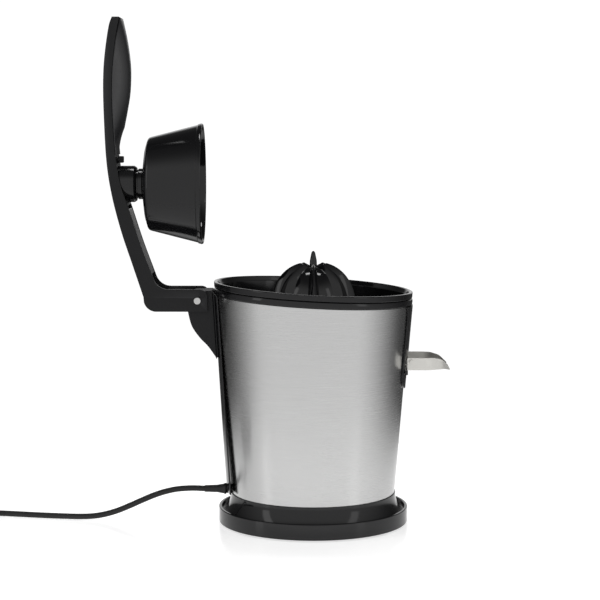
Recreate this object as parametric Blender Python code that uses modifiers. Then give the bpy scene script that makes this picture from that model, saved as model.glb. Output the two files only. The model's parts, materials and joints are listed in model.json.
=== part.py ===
"""Citrus press juicer with a hinged press lever, a lift-out strainer and two reamer cones.

Run with: blender --background --python part.py
The origin is on the surface the juicer stands on, under the spindle's axis. +Z is up, +X points to the
spout and -X to the hinge of the press lever. The lever stands open and the loose pieces sit in the bowl.
All sizes below are millimetres; MM turns them into the scene's metres.
"""

import math

import bmesh
import bpy
from mathutils import Matrix, Vector

MM = 0.001
GAP = 0.3  # clearance between pieces that touch
ROUND = 40  # facets of a large turned piece
FINE_ROUND = 20  # facets of a small turned piece

# Base
FOOT_R = 7.0
FOOT_TOP = 2.2
FOOT_X = 62.0
FOOT_Y = 46.0
COVER_Z = 2.5  # underside of the base cover, the face the feet are fixed to
COVER_TOP = 5.0
COVER_R = 86.3
SCREW_AT = 49.0  # X and Y of the four base screws
BASE_R = 90.2
BASE_FACE_TOP = 16.4
BASE_VALLEY_Z = 11.7  # bottom of the recess between the base's ring and its flare
BODY_Z = 30.0  # foot of the steel shell

# Tapered body: the steel's outer radius grows evenly with height
STEEL_R = 77.9
STEEL_TAPER = 0.0795
STEEL_T = 0.8
RIM_TILT = math.radians(3.1)  # the rim slants down towards the spout
RIM_Z = 227.0  # top of the rim on the axis
RIM_R = 94.2
RIM_T = 5.8
STEEL_TOP = RIM_Z - 2 * RIM_T - 3 * GAP

# Rear spine, hinge bracket and front panel
SPINE_HALF = 25.5
SPINE_R = 82.8
SPINE_TAPER = 0.063
PANEL_HALF = 29.0
PANEL_FOOT = 131.0
PANEL_PROUD = 1.9
WINDOW_HALF = 26.6
WINDOW_LOW = 144.0
WINDOW_HIGH = 173.0

# Press lever
PIN_X = -109.0
PIN_Z = 214.5
PIN_R = 3.5
LEVER_HALF = 20.0
FORK_HALF = 16.5
BRACKET_HALF = 16.1
BELL_Z = PIN_Z - PIN_X  # the bell hangs plumb over the spindle once the lever has turned by 90 degrees
BELL_MOUTH_X = -104.0
BELL_MOUTH_R = 57.0
BELL_BACK_X = -156.2
BELL_BACK_R = 43.6
BELL_CROWN = 4.3
BELL_T = 2.0
NECK_R = 14.5
BOSS_R = 17.2
BOSS_END_X = -166.3

# Bowl and the pieces in it
STRAINER_RIM_Z = 208.5
STRAINER_R = 83.9
BOWL_LEDGE_Z = 203.3
BOWL_FLOOR_Z = 172.0
BOWL_T = 1.3
CHIMNEY_R = 10.5
HUB_R = 21.85
HUB_BOTTOM = 184.5
SMALL_CONE_Z = 184.1
SMALL_RING_R = 39.5
SMALL_RING_H = 8.0
SMALL_DOME_R = 30.2
SMALL_DOME_H = 41.0
EAR_TIP_X = 59.5
LARGE_CONE_Z = SMALL_CONE_Z + SMALL_RING_H + 0.4
LARGE_RING_R = 42.5
LARGE_RING_H = 9.5
LARGE_DOME_R = 41.0
LARGE_DOME_H = 48.1
SPIKE_H = 10.0
RIDGES = 8
CONE_T = 2.2

# Spout
SPOUT_HALF = 24.6
SPOUT_T = 0.8
SPOUT_ROOT_X = 89.8
SPOUT_PIVOT = (92.0, 157.5)

# Drive train: motor pinion, two-stage compound gear and output gear on the spindle
MODULE = 1.5
OUTPUT_TEETH = 40
SMALL_STAGE_TEETH = 14
LARGE_STAGE_TEETH = 40
MOTOR_TEETH = 12
COMPOUND_Y = MODULE * (OUTPUT_TEETH + SMALL_STAGE_TEETH) / 2
MOTOR_BEARING = math.radians(207.0)  # direction of the motor from the compound gear's axis
MOTOR_REACH = MODULE * (LARGE_STAGE_TEETH + MOTOR_TEETH) / 2
MOTOR_X = MOTOR_REACH * math.cos(MOTOR_BEARING)
MOTOR_Y = COMPOUND_Y + MOTOR_REACH * math.sin(MOTOR_BEARING)
MOTOR_TOOTH_TURN = math.radians(12.0)  # puts a gap of the motor pinion opposite a tooth
PLATE_Z = 104.0
PLATE_T = 3.0
STAGE_A_Z = 109.5  # large stage and motor pinion
STAGE_A_T = 8.0
STAGE_B_Z = 120.0  # small stage and output gear
STAGE_B_T = 11.0
GEAR_COVER_Z = 134.0
SPINDLE_R = 5.0
SPINDLE_TOP = 222.0
SPINDLE_FOOT = 99.5
AXLE_R = 3.0
MOTOR_R = 30.0
MOTOR_Z = 38.0
MOTOR_TOP = 103.5
POST_R = 4.0
POST_RING_R = 62.0
POST_ANGLES = (20, 265, 320)

# Mains lead
CORD_R = 2.75
CORD_EXIT_X = -104.0
CORD_EXIT_Z = 31.5
GLAND_R = 4.4
COIL_X = -355.0
COIL_Y = -14.0
COIL_INNER_R = 24.6
COIL_OUTER_R = 40.9
COIL_HEIGHT = 11.4
PLUG_X = -343.0
PLUG_Y = 54.0
PLUG_Z = 7.0

EXACT_MERGE = 1e-6


# --- scene, materials and shape helpers ---

for old in list(bpy.data.objects):
    bpy.data.objects.remove(old)

PARTS = bpy.data.collections.new("citrus_press_juicer")
CUTTERS = bpy.data.collections.new("cutters")
bpy.context.scene.collection.children.link(PARTS)
bpy.context.scene.collection.children.link(CUTTERS)


def material(name, colour, roughness, metallic=0.0):
    made = bpy.data.materials.new(name)
    made.use_nodes = True
    shader = made.node_tree.nodes["Principled BSDF"]
    shader.inputs["Base Color"].default_value = (*colour, 1.0)
    shader.inputs["Roughness"].default_value = roughness
    shader.inputs["Metallic"].default_value = metallic
    made.diffuse_color = (*colour, 1.0)
    return made


GLOSS_BLACK = material("gloss_black", (0.012, 0.012, 0.013), 0.08)
SATIN_BLACK = material("satin_black", (0.02, 0.02, 0.021), 0.42)
MATT_BLACK = material("matt_black", (0.025, 0.025, 0.026), 0.6)
RUBBER = material("rubber", (0.018, 0.018, 0.018), 0.85)
STEEL = material("brushed_steel", (0.62, 0.62, 0.62), 0.3, 1.0)
PIN_STEEL = material("pin_steel", (0.75, 0.75, 0.74), 0.25, 1.0)
ZINC = material("zinc_plate", (0.55, 0.56, 0.58), 0.45, 1.0)
GEAR_WHITE = material("gear_nylon", (0.82, 0.8, 0.74), 0.45)
MOTOR_STEEL = material("motor_steel", (0.32, 0.33, 0.35), 0.4, 1.0)
BRONZE = material("sintered_bronze", (0.5, 0.33, 0.16), 0.5, 1.0)
BRASS = material("plug_brass", (0.72, 0.56, 0.25), 0.3, 1.0)


def place(obj, name, finish, collection=PARTS):
    """Names an object and puts it in a collection; a helper shape has no finish and isn't rendered."""
    obj.name = name
    obj.data.name = name
    for holder in list(obj.users_collection):
        holder.objects.unlink(obj)
    if finish is None:
        CUTTERS.objects.link(obj)
        obj.hide_render = True
        obj.display_type = "WIRE"
    else:
        collection.objects.link(obj)
        obj.data.materials.clear()
        obj.data.materials.append(finish)
    return obj


def from_bmesh(name, shape, finish, origin=(0, 0, 0)):
    """A mesh object whose origin is at a point given in millimetres; the bmesh is in world millimetres."""
    shift = Matrix.Translation(-Vector(origin))
    bmesh.ops.transform(shape, matrix=Matrix.Scale(MM, 4) @ shift, verts=shape.verts)
    bmesh.ops.recalc_face_normals(shape, faces=shape.faces)
    mesh = bpy.data.meshes.new(name)
    shape.to_mesh(mesh)
    shape.free()
    obj = bpy.data.objects.new(name, mesh)
    obj.location = Vector(origin) * MM
    return place(obj, name, finish)


def smooth_shade(obj, angle=35.0):
    obj.data.shade_smooth()
    obj.data.set_sharp_from_angle(angle=math.radians(angle))
    return obj


def block(name, low, high, finish=None, origin=(0, 0, 0)):
    shape = bmesh.new()
    size = Vector(high) - Vector(low)
    middle = (Vector(high) + Vector(low)) / 2
    place_and_size = Matrix.Translation(middle) @ Matrix.Diagonal((*size, 1.0))
    bmesh.ops.create_cube(shape, size=1.0, matrix=place_and_size)
    return from_bmesh(name, shape, finish, origin)


def rod(name, start, end, radius, finish=None, sides=FINE_ROUND, end_radius=None, origin=(0, 0, 0)):
    """A cylinder, or a cone frustum where end_radius is given, between two points."""
    start, end = Vector(start), Vector(end)
    along = end - start
    turn = Vector((0, 0, 1)).rotation_difference(along).to_matrix().to_4x4()
    shape = bmesh.new()
    bmesh.ops.create_cone(
        shape,
        cap_ends=True,
        segments=sides,
        radius1=radius,
        radius2=radius if end_radius is None else end_radius,
        depth=along.length,
        matrix=Matrix.Translation((start + end) / 2) @ turn,
    )
    return from_bmesh(name, shape, finish, origin)


def signed_area(points):
    pairs = zip(points, points[1:] + points[:1])
    return sum(a[0] * b[1] - b[0] * a[1] for a, b in pairs) / 2


def turned(name, profile, finish=None, steps=ROUND, at=(0.0, 0.0)):
    """A profile of (radius, height) turned about a vertical axis. One that starts and ends on the axis is
    left open there; any other is a closed loop."""
    closed = profile[0][0] > 0 or profile[-1][0] > 0
    points = list(profile)
    if signed_area(points) > 0:
        points.reverse()
    mesh = bpy.data.meshes.new(name)
    edges = [(i, i + 1) for i in range(len(points) - 1)]
    if closed:
        edges.append((len(points) - 1, 0))
    mesh.from_pydata([(r * MM, 0, z * MM) for r, z in points], edges, [])
    obj = bpy.data.objects.new(name, mesh)
    obj.location = (at[0] * MM, at[1] * MM, 0)
    screw = obj.modifiers.new("turn", "SCREW")
    screw.axis = "Z"
    screw.steps = steps
    screw.render_steps = steps
    screw.use_merge_vertices = True
    screw.merge_threshold = EXACT_MERGE
    screw.use_smooth_shade = finish is not None
    return place(obj, name, finish)


def outline_solid(name, outlines, low, high, finish=None, plane="XY"):
    """Flat closed outlines, the first one outside and the rest holes, extruded from low to high.
    plane XY extrudes along Z, and plane XZ takes (x, z) points and extrudes along Y."""
    curve = bpy.data.curves.new(name, "CURVE")
    curve.dimensions = "2D"
    curve.fill_mode = "BOTH"
    curve.extrude = (high - low) / 2 * MM
    for outline in outlines:
        spline = curve.splines.new("POLY")
        spline.points.add(len(outline) - 1)
        for point, (u, v) in zip(spline.points, outline):
            point.co = (u * MM, v * MM, 0, 1)
        spline.use_cyclic_u = True
    obj = bpy.data.objects.new(name, curve)
    middle = (low + high) / 2 * MM
    if plane == "XZ":
        obj.location = (0, middle, 0)
        obj.rotation_euler = (math.pi / 2, 0, 0)
    else:
        obj.location = (0, 0, middle)
    place(obj, name, finish)
    return as_mesh(obj, name, finish)


def as_mesh(obj, name, finish):
    """Turns a curve object into a mesh object with its caps welded to its sides."""
    bpy.context.view_layer.update()
    graph = bpy.context.evaluated_depsgraph_get()
    mesh = bpy.data.meshes.new_from_object(obj.evaluated_get(graph))
    placed = obj.matrix_world.copy()
    bpy.data.objects.remove(obj)
    shape = bmesh.new()
    shape.from_mesh(mesh)
    bmesh.ops.remove_doubles(shape, verts=shape.verts, dist=EXACT_MERGE)
    bmesh.ops.recalc_face_normals(shape, faces=shape.faces)
    shape.to_mesh(mesh)
    shape.free()
    solid = bpy.data.objects.new(name, mesh)
    solid.matrix_world = placed
    return place(solid, name, finish)


def boolean(obj, operation, tools):
    for tool in tools:
        step = obj.modifiers.new(f"{operation.lower()}_{tool.name}", "BOOLEAN")
        step.operation = operation
        step.object = tool
    return obj


def cut(obj, *tools):
    return boolean(obj, "DIFFERENCE", tools)


def join(obj, *tools):
    return boolean(obj, "UNION", tools)


def trim_to(obj, *tools):
    return boolean(obj, "INTERSECT", tools)


def circle(centre, radius, sides=FINE_ROUND):
    turns = (2 * math.pi * k / sides for k in range(sides))
    return [(centre[0] + radius * math.cos(t), centre[1] + radius * math.sin(t)) for t in turns]


def arc(centre, radius, start, end, steps):
    """Points on an arc, with its start and end angles in degrees."""
    angles = (math.radians(start + (end - start) * k / steps) for k in range(steps + 1))
    return [(centre[0] + radius * math.cos(t), centre[1] + radius * math.sin(t)) for t in angles]


def smooth(points, steps):
    """Points on one smooth curve that passes through all the given points."""
    points = [Vector(p) for p in points]
    ends = [2 * points[0] - points[1], *points, 2 * points[-1] - points[-2]]
    found = []
    for a, b, c, d in zip(ends, ends[1:], ends[2:], ends[3:]):
        for k in range(steps):
            t = k / steps
            blend = (c - a) * t + (2 * a - 5 * b + 4 * c - d) * t**2 + (3 * b - a - 3 * c + d) * t**3
            found.append(tuple(b + blend / 2))
    return [*found, tuple(points[-1])]


def steel_r(z):
    return STEEL_R + STEEL_TAPER * (z - BODY_Z)


def spine_r(z):
    return SPINE_R + SPINE_TAPER * (z - BODY_Z)


def above_rim(name, z):
    """A cutter that removes everything over the slanted plane through height z on the axis."""
    tool = block(name, (-130, -130, 0), (130, 130, 120))
    tool.location = (0, 0, z * MM)
    tool.rotation_euler = (0, RIM_TILT, 0)
    return tool


def slanted_ring(name, top, inner, outer, thickness, finish):
    """A ring whose flat top slants with the rim; top is its height on the axis."""
    edge = 0.9
    profile = [
        (outer - edge, 0),
        (outer, -edge),
        (outer, -thickness + edge),
        (outer - edge, -thickness),
        (inner, -thickness),
        (inner, 0),
    ]
    ring = turned(name, profile, finish)
    ring.location = (0, 0, top * MM)
    ring.rotation_euler = (0, RIM_TILT, 0)
    return ring


# --- base ---


def build_base():
    face_foot = COVER_Z + 0.6
    ring_inner_r = COVER_R + 0.7
    flare_top = (STEEL_R + 0.9, BODY_Z - GAP)
    flare_radius = 30.3
    flare = arc((flare_top[0] + flare_radius, flare_top[1]), flare_radius, 215.8, 180, 4)
    inside = [(r - 2.4, z - 0.8) for r, z in reversed(flare[:-1])]
    profile = [
        (BASE_R - 0.8, face_foot),
        (BASE_R, face_foot + 0.8),
        (BASE_R, BASE_FACE_TOP - 0.8),
        (BASE_R - 0.8, BASE_FACE_TOP),
        (BASE_R - 3.4, BASE_FACE_TOP - 0.2),
        (BASE_R - 4.4, BASE_VALLEY_Z),
        *flare,
        (flare_top[0] - 2.6, flare_top[1]),
        *inside,
        (ring_inner_r, BASE_VALLEY_Z - 2.4),
        (ring_inner_r, face_foot),
    ]
    tray = turned("base_tray", profile, GLOSS_BLACK)
    cut(tray, rod("tray_gland_notch", (-70, 0, CORD_EXIT_Z), (-95, 0, CORD_EXIT_Z), GLAND_R + GAP))

    cover = turned("base_cover", [(0, COVER_TOP), (COVER_R, COVER_TOP), (COVER_R, COVER_Z), (0, COVER_Z)],
                   SATIN_BLACK)
    corners = [(sx, sy) for sx in (-1, 1) for sy in (-1, 1)]
    for number, (sx, sy) in enumerate(corners, 1):
        foot_at = (sx * FOOT_X, sy * FOOT_Y)
        turned(
            f"rubber_foot_{number}",
            [(0, FOOT_TOP), (FOOT_R, FOOT_TOP), (FOOT_R, 0.6), (FOOT_R - 0.6, 0), (0, 0)],
            RUBBER, 12, foot_at,
        )
        screw_at = (sx * SCREW_AT, sy * SCREW_AT)
        head_top = COVER_Z + 1.6
        hole = turned(
            f"screw_hole_{number}",
            [(0, COVER_TOP + 1), (1.9, COVER_TOP + 1), (1.9, head_top), (3.4, head_top), (3.4, 0), (0, 0)],
            None, 12, screw_at,
        )
        cut(cover, hole)
        turned(
            f"base_screw_{number}",
            [(0, 12.0), (1.5, 11.4), (1.5, head_top - GAP), (3.0, head_top - GAP), (3.0, COVER_Z + 0.2),
             (0, COVER_Z + 0.2)],
            ZINC, 12, screw_at,
        )


# --- outer body ---


def build_body():
    foot, top = BODY_Z, RIM_Z + 8
    shell = turned(
        "steel_shell",
        [(steel_r(top), top), (steel_r(foot), foot), (steel_r(foot) - STEEL_T, foot),
         (steel_r(top) - STEEL_T, top)],
        STEEL,
    )
    window = block("spout_window", (60, -WINDOW_HALF, WINDOW_LOW), (110, WINDOW_HALF, WINDOW_HIGH))
    gland_hole = rod("gland_hole", (-60, 0, CORD_EXIT_Z), (-95, 0, CORD_EXIT_Z), GLAND_R + GAP)
    cut(shell, above_rim("shell_top_cut", STEEL_TOP), window, gland_hole)

    def strip(name, outer, half_width, low, mat, side):
        made = turned(
            name,
            [(outer(top), top), (outer(low), low), (steel_r(low) + GAP, low), (steel_r(top) + GAP, top)],
            mat,
        )
        far = 120 * side
        bounds = block(f"{name}_width", (min(8 * side, far), -half_width, 0), (max(8 * side, far), half_width, 300))
        trim_to(made, bounds)
        return made

    spine = strip("rear_spine", spine_r, SPINE_HALF, foot + GAP, GLOSS_BLACK, -1)
    cut(spine, above_rim("spine_top_cut", STEEL_TOP), gland_hole)

    panel = strip("front_panel", lambda z: steel_r(z) + PANEL_PROUD, PANEL_HALF, PANEL_FOOT, GLOSS_BLACK, 1)
    corner = 15.0
    low = PANEL_FOOT + corner
    outline = [
        *arc((-PANEL_HALF + corner, low), corner, 180, 270, 4),
        *arc((PANEL_HALF - corner, low), corner, 270, 360, 4),
        (PANEL_HALF, 260),
        (-PANEL_HALF, 260),
    ]
    tongue = outline_solid("panel_outline", [outline], -120, -20, None, "XZ")
    tongue.rotation_euler = (math.pi / 2, 0, math.pi / 2)
    tongue.location = (70 * MM, 0, 0)
    trim_to(panel, tongue)
    cut(panel, above_rim("panel_top_cut", STEEL_TOP), window)

    collar_inner = steel_r(BOWL_LEDGE_Z) - STEEL_T + 0.5
    slanted_ring("collar_ring", RIM_Z - RIM_T - GAP, collar_inner, RIM_R, RIM_T, GLOSS_BLACK)


def build_bowl():
    def wall(z):
        return steel_r(min(z, BOWL_LEDGE_Z)) - STEEL_T - 0.5

    top = RIM_Z + 6
    seal_r = SPINDLE_R + 2.9
    profile = [
        (wall(top), top),
        (wall(top), BOWL_LEDGE_Z),
        (wall(BOWL_FLOOR_Z), BOWL_FLOOR_Z),
        (wall(BOWL_FLOOR_Z) - 2.2, BOWL_FLOOR_Z - 2.2),
        (seal_r, BOWL_FLOOR_Z - 2.2),
        (seal_r, 196.0),
        (CHIMNEY_R, 196.0),
        (CHIMNEY_R, BOWL_FLOOR_Z),
        (wall(BOWL_FLOOR_Z) - 3.5, BOWL_FLOOR_Z),
        (wall(BOWL_FLOOR_Z) - BOWL_T, BOWL_FLOOR_Z + 2.2),
        (wall(198) - BOWL_T, 198),
        (81.5, BOWL_LEDGE_Z - 1.2),
        (81.5, BOWL_LEDGE_Z),
        (wall(BOWL_LEDGE_Z) - BOWL_T, BOWL_LEDGE_Z),
        (wall(top) - BOWL_T, top),
    ]
    bowl = turned("juice_bowl", profile, GLOSS_BLACK)
    flange_inner = wall(RIM_Z) - BOWL_T / 2
    flange = slanted_ring("bowl_flange", RIM_Z, flange_inner, RIM_R, RIM_T, None)
    duct = block("drain_duct", (58, -18, 154.5), (94.0, 18, BOWL_FLOOR_Z - 0.6))
    duct_way = block("drain_way", (60, -15.8, 156.5), (96, 15.8, BOWL_FLOOR_Z + 0.8))
    cut(bowl, above_rim("bowl_top_cut", RIM_Z - 0.4))
    join(bowl, flange, duct)
    cut(bowl, duct_way)

    turned("shaft_seal", [(seal_r - GAP, 195.0), (seal_r - GAP, 189.0), (SPINDLE_R + GAP, 189.0),
                          (SPINDLE_R + GAP, 195.0)], RUBBER, FINE_ROUND)


# --- drive train ---


def gear_outline(centre, teeth, turn=0.0):
    """A spur gear's outline with flat-flanked teeth, slightly thin so that the pair runs with backlash."""
    pitch_r = MODULE * teeth / 2
    root_r, tip_r = pitch_r - 1.15 * MODULE, pitch_r + 0.75 * MODULE
    pitch = 2 * math.pi / teeth
    flank = ((-0.29, root_r), (-0.12, tip_r), (0.12, tip_r), (0.29, root_r))
    found = []
    for tooth in range(teeth):
        for share, radius in flank:
            angle = turn + (tooth + share) * pitch
            found.append((centre[0] + radius * math.cos(angle), centre[1] + radius * math.sin(angle)))
    return found


def build_drive():
    motor = (MOTOR_X, MOTOR_Y)
    compound = (0.0, COMPOUND_Y)
    spindle = (0.0, 0.0)
    posts = [(POST_RING_R * math.cos(math.radians(a)), POST_RING_R * math.sin(math.radians(a)))
             for a in POST_ANGLES]
    plate_r = 70.0

    plate = [circle((0, 0), plate_r, ROUND), circle(motor, 9.0), circle(spindle, SPINDLE_R + 2.9),
             circle(compound, AXLE_R + GAP, 16)]
    outline_solid("gear_plate", plate, PLATE_Z, PLATE_Z + PLATE_T, ZINC)
    cover = [circle((0, 0), plate_r, ROUND), circle(spindle, SPINDLE_R + 2.9),
             circle(compound, AXLE_R + GAP, 16)]
    outline_solid("gear_cover", cover, GEAR_COVER_Z, GEAR_COVER_Z + PLATE_T, SATIN_BLACK)
    for number, (x, y) in enumerate(posts, 1):
        rod(f"support_post_{number}", (x, y, COVER_TOP + GAP), (x, y, PLATE_Z - GAP), POST_R, SATIN_BLACK, 12)
        rod(f"gear_spacer_{number}", (x, y, PLATE_Z + PLATE_T + GAP), (x, y, GEAR_COVER_Z - GAP), POST_R,
            ZINC, 12)

    turned(
        "motor_can",
        [(MOTOR_R - 2, MOTOR_TOP), (MOTOR_R, MOTOR_TOP - 2), (MOTOR_R, MOTOR_Z + 2), (MOTOR_R - 2, MOTOR_Z),
         (5.0, MOTOR_Z), (5.0, MOTOR_TOP)],
        MOTOR_STEEL, 32, motor,
    )
    pinion = outline_solid("motor_pinion", [gear_outline(motor, MOTOR_TEETH, MOTOR_TOOTH_TURN)],
                           STAGE_A_Z, STAGE_A_Z + STAGE_A_T, ZINC)
    shaft = rod("motor_shaft", (*motor, MOTOR_Z - 4), (*motor, STAGE_A_Z + STAGE_A_T + 1), 2.5, None, 16)
    armature = rod("motor_armature", (*motor, MOTOR_Z + 8), (*motor, MOTOR_TOP - 10), 4.5, None, 16)
    join(pinion, shaft, armature)

    rod("compound_axle", (*compound, PLATE_Z + 0.5), (*compound, GEAR_COVER_Z + PLATE_T - 0.5), AXLE_R,
        PIN_STEEL, 16)
    wheel = outline_solid("compound_gear", [gear_outline(compound, LARGE_STAGE_TEETH)],
                          STAGE_A_Z, STAGE_A_Z + STAGE_A_T, GEAR_WHITE)
    small_stage = outline_solid("compound_small_stage", [gear_outline(compound, SMALL_STAGE_TEETH)],
                                STAGE_A_Z + STAGE_A_T - 1, STAGE_B_Z + STAGE_B_T)
    join(wheel, small_stage)
    cut(wheel, rod("compound_bore", (*compound, 100), (*compound, 140), AXLE_R + GAP, None, 16))

    bore = circle(spindle, SPINDLE_R + GAP)
    outline_solid("output_gear", [gear_outline(spindle, OUTPUT_TEETH), bore], STAGE_B_Z,
                  STAGE_B_Z + STAGE_B_T - 2, GEAR_WHITE)
    shaft = turned(
        "spindle",
        [(0, 205), (SPINDLE_R, 205), (SPINDLE_R, SPINDLE_FOOT), (0, SPINDLE_FOOT)],
        PIN_STEEL, FINE_ROUND,
    )
    drive_end = rod("spindle_hexagon", (0, 0, 204), (0, 0, SPINDLE_TOP), SPINDLE_R - 0.4, None, 6)
    join(shaft, drive_end)

    bush_r = SPINDLE_R + 2.6
    for name, low, high in (
        ("spindle_bush", GEAR_COVER_Z - 1, GEAR_COVER_Z + PLATE_T + 3),
        ("thrust_bearing", PLATE_Z - 1, PLATE_Z + PLATE_T + 3),
    ):
        turned(name, [(bush_r, high), (bush_r, low), (SPINDLE_R + 0.25, low), (SPINDLE_R + 0.25, high)],
               BRONZE, FINE_ROUND)

    switch = block("start_switch", (-7, -10, 84), (7, 10, 95), SATIN_BLACK)
    cut(switch, rod("plunger_well", (0, 0, 90), (0, 0, 97), 2.6, None, 16))
    rod("switch_plunger", (0, 0, 92.2), (0, 0, SPINDLE_FOOT - GAP), 2.2, GEAR_WHITE, 12)
    block("switch_bracket", (-7, -12.3, 84), (7, -10 - GAP, PLATE_Z - GAP), ZINC)


# --- hinge and press lever ---


def build_hinge():
    knuckle_r = 10.0
    spine_edge_top = (-spine_r(222) - GAP, 223.6)
    gusset = [(-118.6, 207.0), (-117.2, 199.0), (-114.0, 189.0), (-107.0, 179.0), (-99.4, 171.0), (-92.6, 161.5)]
    outline = [
        spine_edge_top,
        *arc((PIN_X, 223.6 - knuckle_r), knuckle_r, 90, 165, 5),
        *smooth(gusset, 3),
        (-spine_r(158) - GAP, 158.5),
    ]
    bracket = outline_solid("hinge_bracket", [outline, circle((PIN_X, PIN_Z), PIN_R + GAP)],
                            -BRACKET_HALF, BRACKET_HALF, MATT_BLACK, "XZ")
    smooth_shade(bracket)

    pin_end = LEVER_HALF + 1.2
    rod("hinge_pin", (PIN_X, -pin_end, PIN_Z), (PIN_X, pin_end + 1.6, PIN_Z), PIN_R, PIN_STEEL)
    clip = turned("pin_clip", [(5.6, 0.5), (5.6, -0.5), (PIN_R + GAP, -0.5), (PIN_R + GAP, 0.5)], ZINC, 16)
    clip.location = (PIN_X * MM, (LEVER_HALF + 1.1) * MM, PIN_Z * MM)
    clip.rotation_euler = (math.pi / 2, 0, 0)


# Edges of the press lever's side, from the tip down to the heel and from the elbow back up to the tip
LEVER_BACK = [(-190.6, 480.0), (-193.6, 468.9), (-197.4, 443.7), (-199.0, 420.4), (-198.3, 389.8),
              (-194.2, 345.5), (-188.2, 313.0), (-179.8, 279.7), (-170.0, 249.6), (-159.6, 218.0)]
LEVER_FRONT = [(-146.6, 229.6), (-151.6, 239.0), (-162.3, 268.3), (-172.6, 300.4), (-180.2, 323.4),
               (-185.5, 347.4), (-188.3, 371.2), (-190.5, 397.1), (-190.9, 426.4), (-188.4, 455.0),
               (-184.8, 479.2)]
HULL_CREST = [(-183.6, 478.0), (-178.3, 458.9), (-175.2, 440.6), (-174.6, 426.1), (-175.6, 407.8),
              (-178.0, 389.7), (-179.4, 371.5), (-179.9, 349.7)]


def edge_at(points, z):
    """X of an edge at height z, read between its points."""
    ordered = sorted(points, key=lambda p: p[1])
    for (x0, z0), (x1, z1) in zip(ordered, ordered[1:]):
        if z <= z1:
            share = max(0.0, (z - z0) / (z1 - z0))
            return x0 + (x1 - x0) * share
    return ordered[-1][0]


def build_lever():
    end_x, low, high = -99.8, 204.2, 225.2
    corner = 7.0
    outline = [
        *smooth(LEVER_BACK, 2),
        *arc((-147.6, 216.2), 12.0, 195, 270, 5),
        (end_x, low),
        (end_x, high - corner),
        *arc((end_x - corner, high - corner), corner, 0, 90, 4)[1:],
        (-139.5, high),
        *smooth(LEVER_FRONT, 2),
    ]
    arm = outline_solid("lever_arm", [outline, circle((PIN_X, PIN_Z), PIN_R + GAP)],
                        -LEVER_HALF, LEVER_HALF, MATT_BLACK, "XZ")
    fork = block("fork_gap", (-139.0, -FORK_HALF, 190), (-90, FORK_HALF, 240))
    wall = 3.0
    pocket_outline = [(x + wall, z) for x, z in LEVER_BACK[6:]]
    pocket_outline += [(-152.0, 210.0), (-146.0, 207.5), (-120.0, 207.5), (-120.0, 236.0), (-139.0, 236.0)]
    pocket_outline += [(x + wall, z) for x, z in LEVER_FRONT[1:4]]
    pocket = outline_solid("lever_pocket", [pocket_outline], -FORK_HALF, FORK_HALF, None, "XZ")
    cut(arm, fork, pocket)
    smooth_shade(arm)

    faces = smooth(LEVER_FRONT[1:4], 2)
    strip = [(x - 0.2, z) for x, z in faces] + [(x - 2.4, z) for x, z in reversed(faces)]
    cover = outline_solid("lever_inner_cover", [strip], -FORK_HALF + GAP, FORK_HALF - GAP, GLOSS_BLACK, "XZ")
    smooth_shade(cover)


def build_grip():
    """The grip's convex underside: a lofted hull, flat where it meets the lever and full at the middle."""
    stations = 12
    half_sides = 6
    low, high = 351.0, 478.0
    shape = bmesh.new()
    rings = []
    for k in range(stations + 1):
        share = k / stations
        z = low + (high - low) * share
        back = edge_at(LEVER_FRONT, z) + GAP
        crest = max(edge_at(HULL_CREST, z), back + 1.2)
        taper = math.sqrt(max(0.0, 1 - max(0.0, (share - 0.8) / 0.2) ** 2 * 0.55))
        half = (LEVER_HALF - 0.6) * taper
        ring = []
        for j in range(-half_sides, half_sides + 1):
            t = j / half_sides
            ring.append(shape.verts.new((back + (crest - back) * (1 - abs(t) ** 2.6), half * t, z)))
        rings.append(ring)
    for lower, upper in zip(rings, rings[1:]):
        for a, b, c, d in zip(lower, lower[1:], upper[1:], upper):
            shape.faces.new((a, b, c, d))
        shape.faces.new((lower[-1], lower[0], upper[0], upper[-1]))
    shape.faces.new(rings[0])
    shape.faces.new(rings[-1])
    smooth_shade(from_bmesh("grip_hull", shape, GLOSS_BLACK), 50)


def build_bell():
    boss = rod("bell_boss", (edge_at(LEVER_FRONT, BELL_Z) - 0.5, 0, BELL_Z), (BOSS_END_X, 0, BELL_Z), BOSS_R,
               SATIN_BLACK, 32)
    boss_back = outline_solid(
        "boss_behind_lever",
        [[(-230, 280), *smooth([(x + GAP, z) for x, z in LEVER_FRONT[2:7]], 2), (-230, 372)]],
        -40, 40, None, "XZ",
    )
    cut(boss, boss_back)
    smooth_shade(boss)
    rod("bell_neck", (BOSS_END_X + GAP, 0, BELL_Z), (BELL_BACK_X - BELL_CROWN - GAP, 0, BELL_Z), NECK_R,
        SATIN_BLACK, 32)
    crown = [(0, BELL_CROWN), (20, BELL_CROWN * 0.82), (34, BELL_CROWN * 0.35), (BELL_BACK_R - 1.2, -0.6),
             (BELL_BACK_R, -2.2)]
    depth = BELL_MOUTH_X - BELL_BACK_X
    profile = [
        *crown,
        (BELL_MOUTH_R - 1.2, -depth + 3.0),
        (BELL_MOUTH_R, -depth + 2.4),
        (BELL_MOUTH_R, -depth),
        (BELL_MOUTH_R - BELL_T, -depth),
        (BELL_BACK_R - BELL_T, -4.0),
        (BELL_BACK_R - BELL_T - 3.5, -BELL_T),
        (0, BELL_CROWN - BELL_T),
    ]
    bell = turned("bell_cup", profile, GLOSS_BLACK)
    bell.location = (BELL_BACK_X * MM, 0, BELL_Z * MM)
    bell.rotation_euler = (0, -math.pi / 2, 0)
    block("bell_release_tab", (-183.6, -5, 343.4), (-178.8, 5, 349.6), MATT_BLACK)


# --- strainer and cones ---


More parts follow.
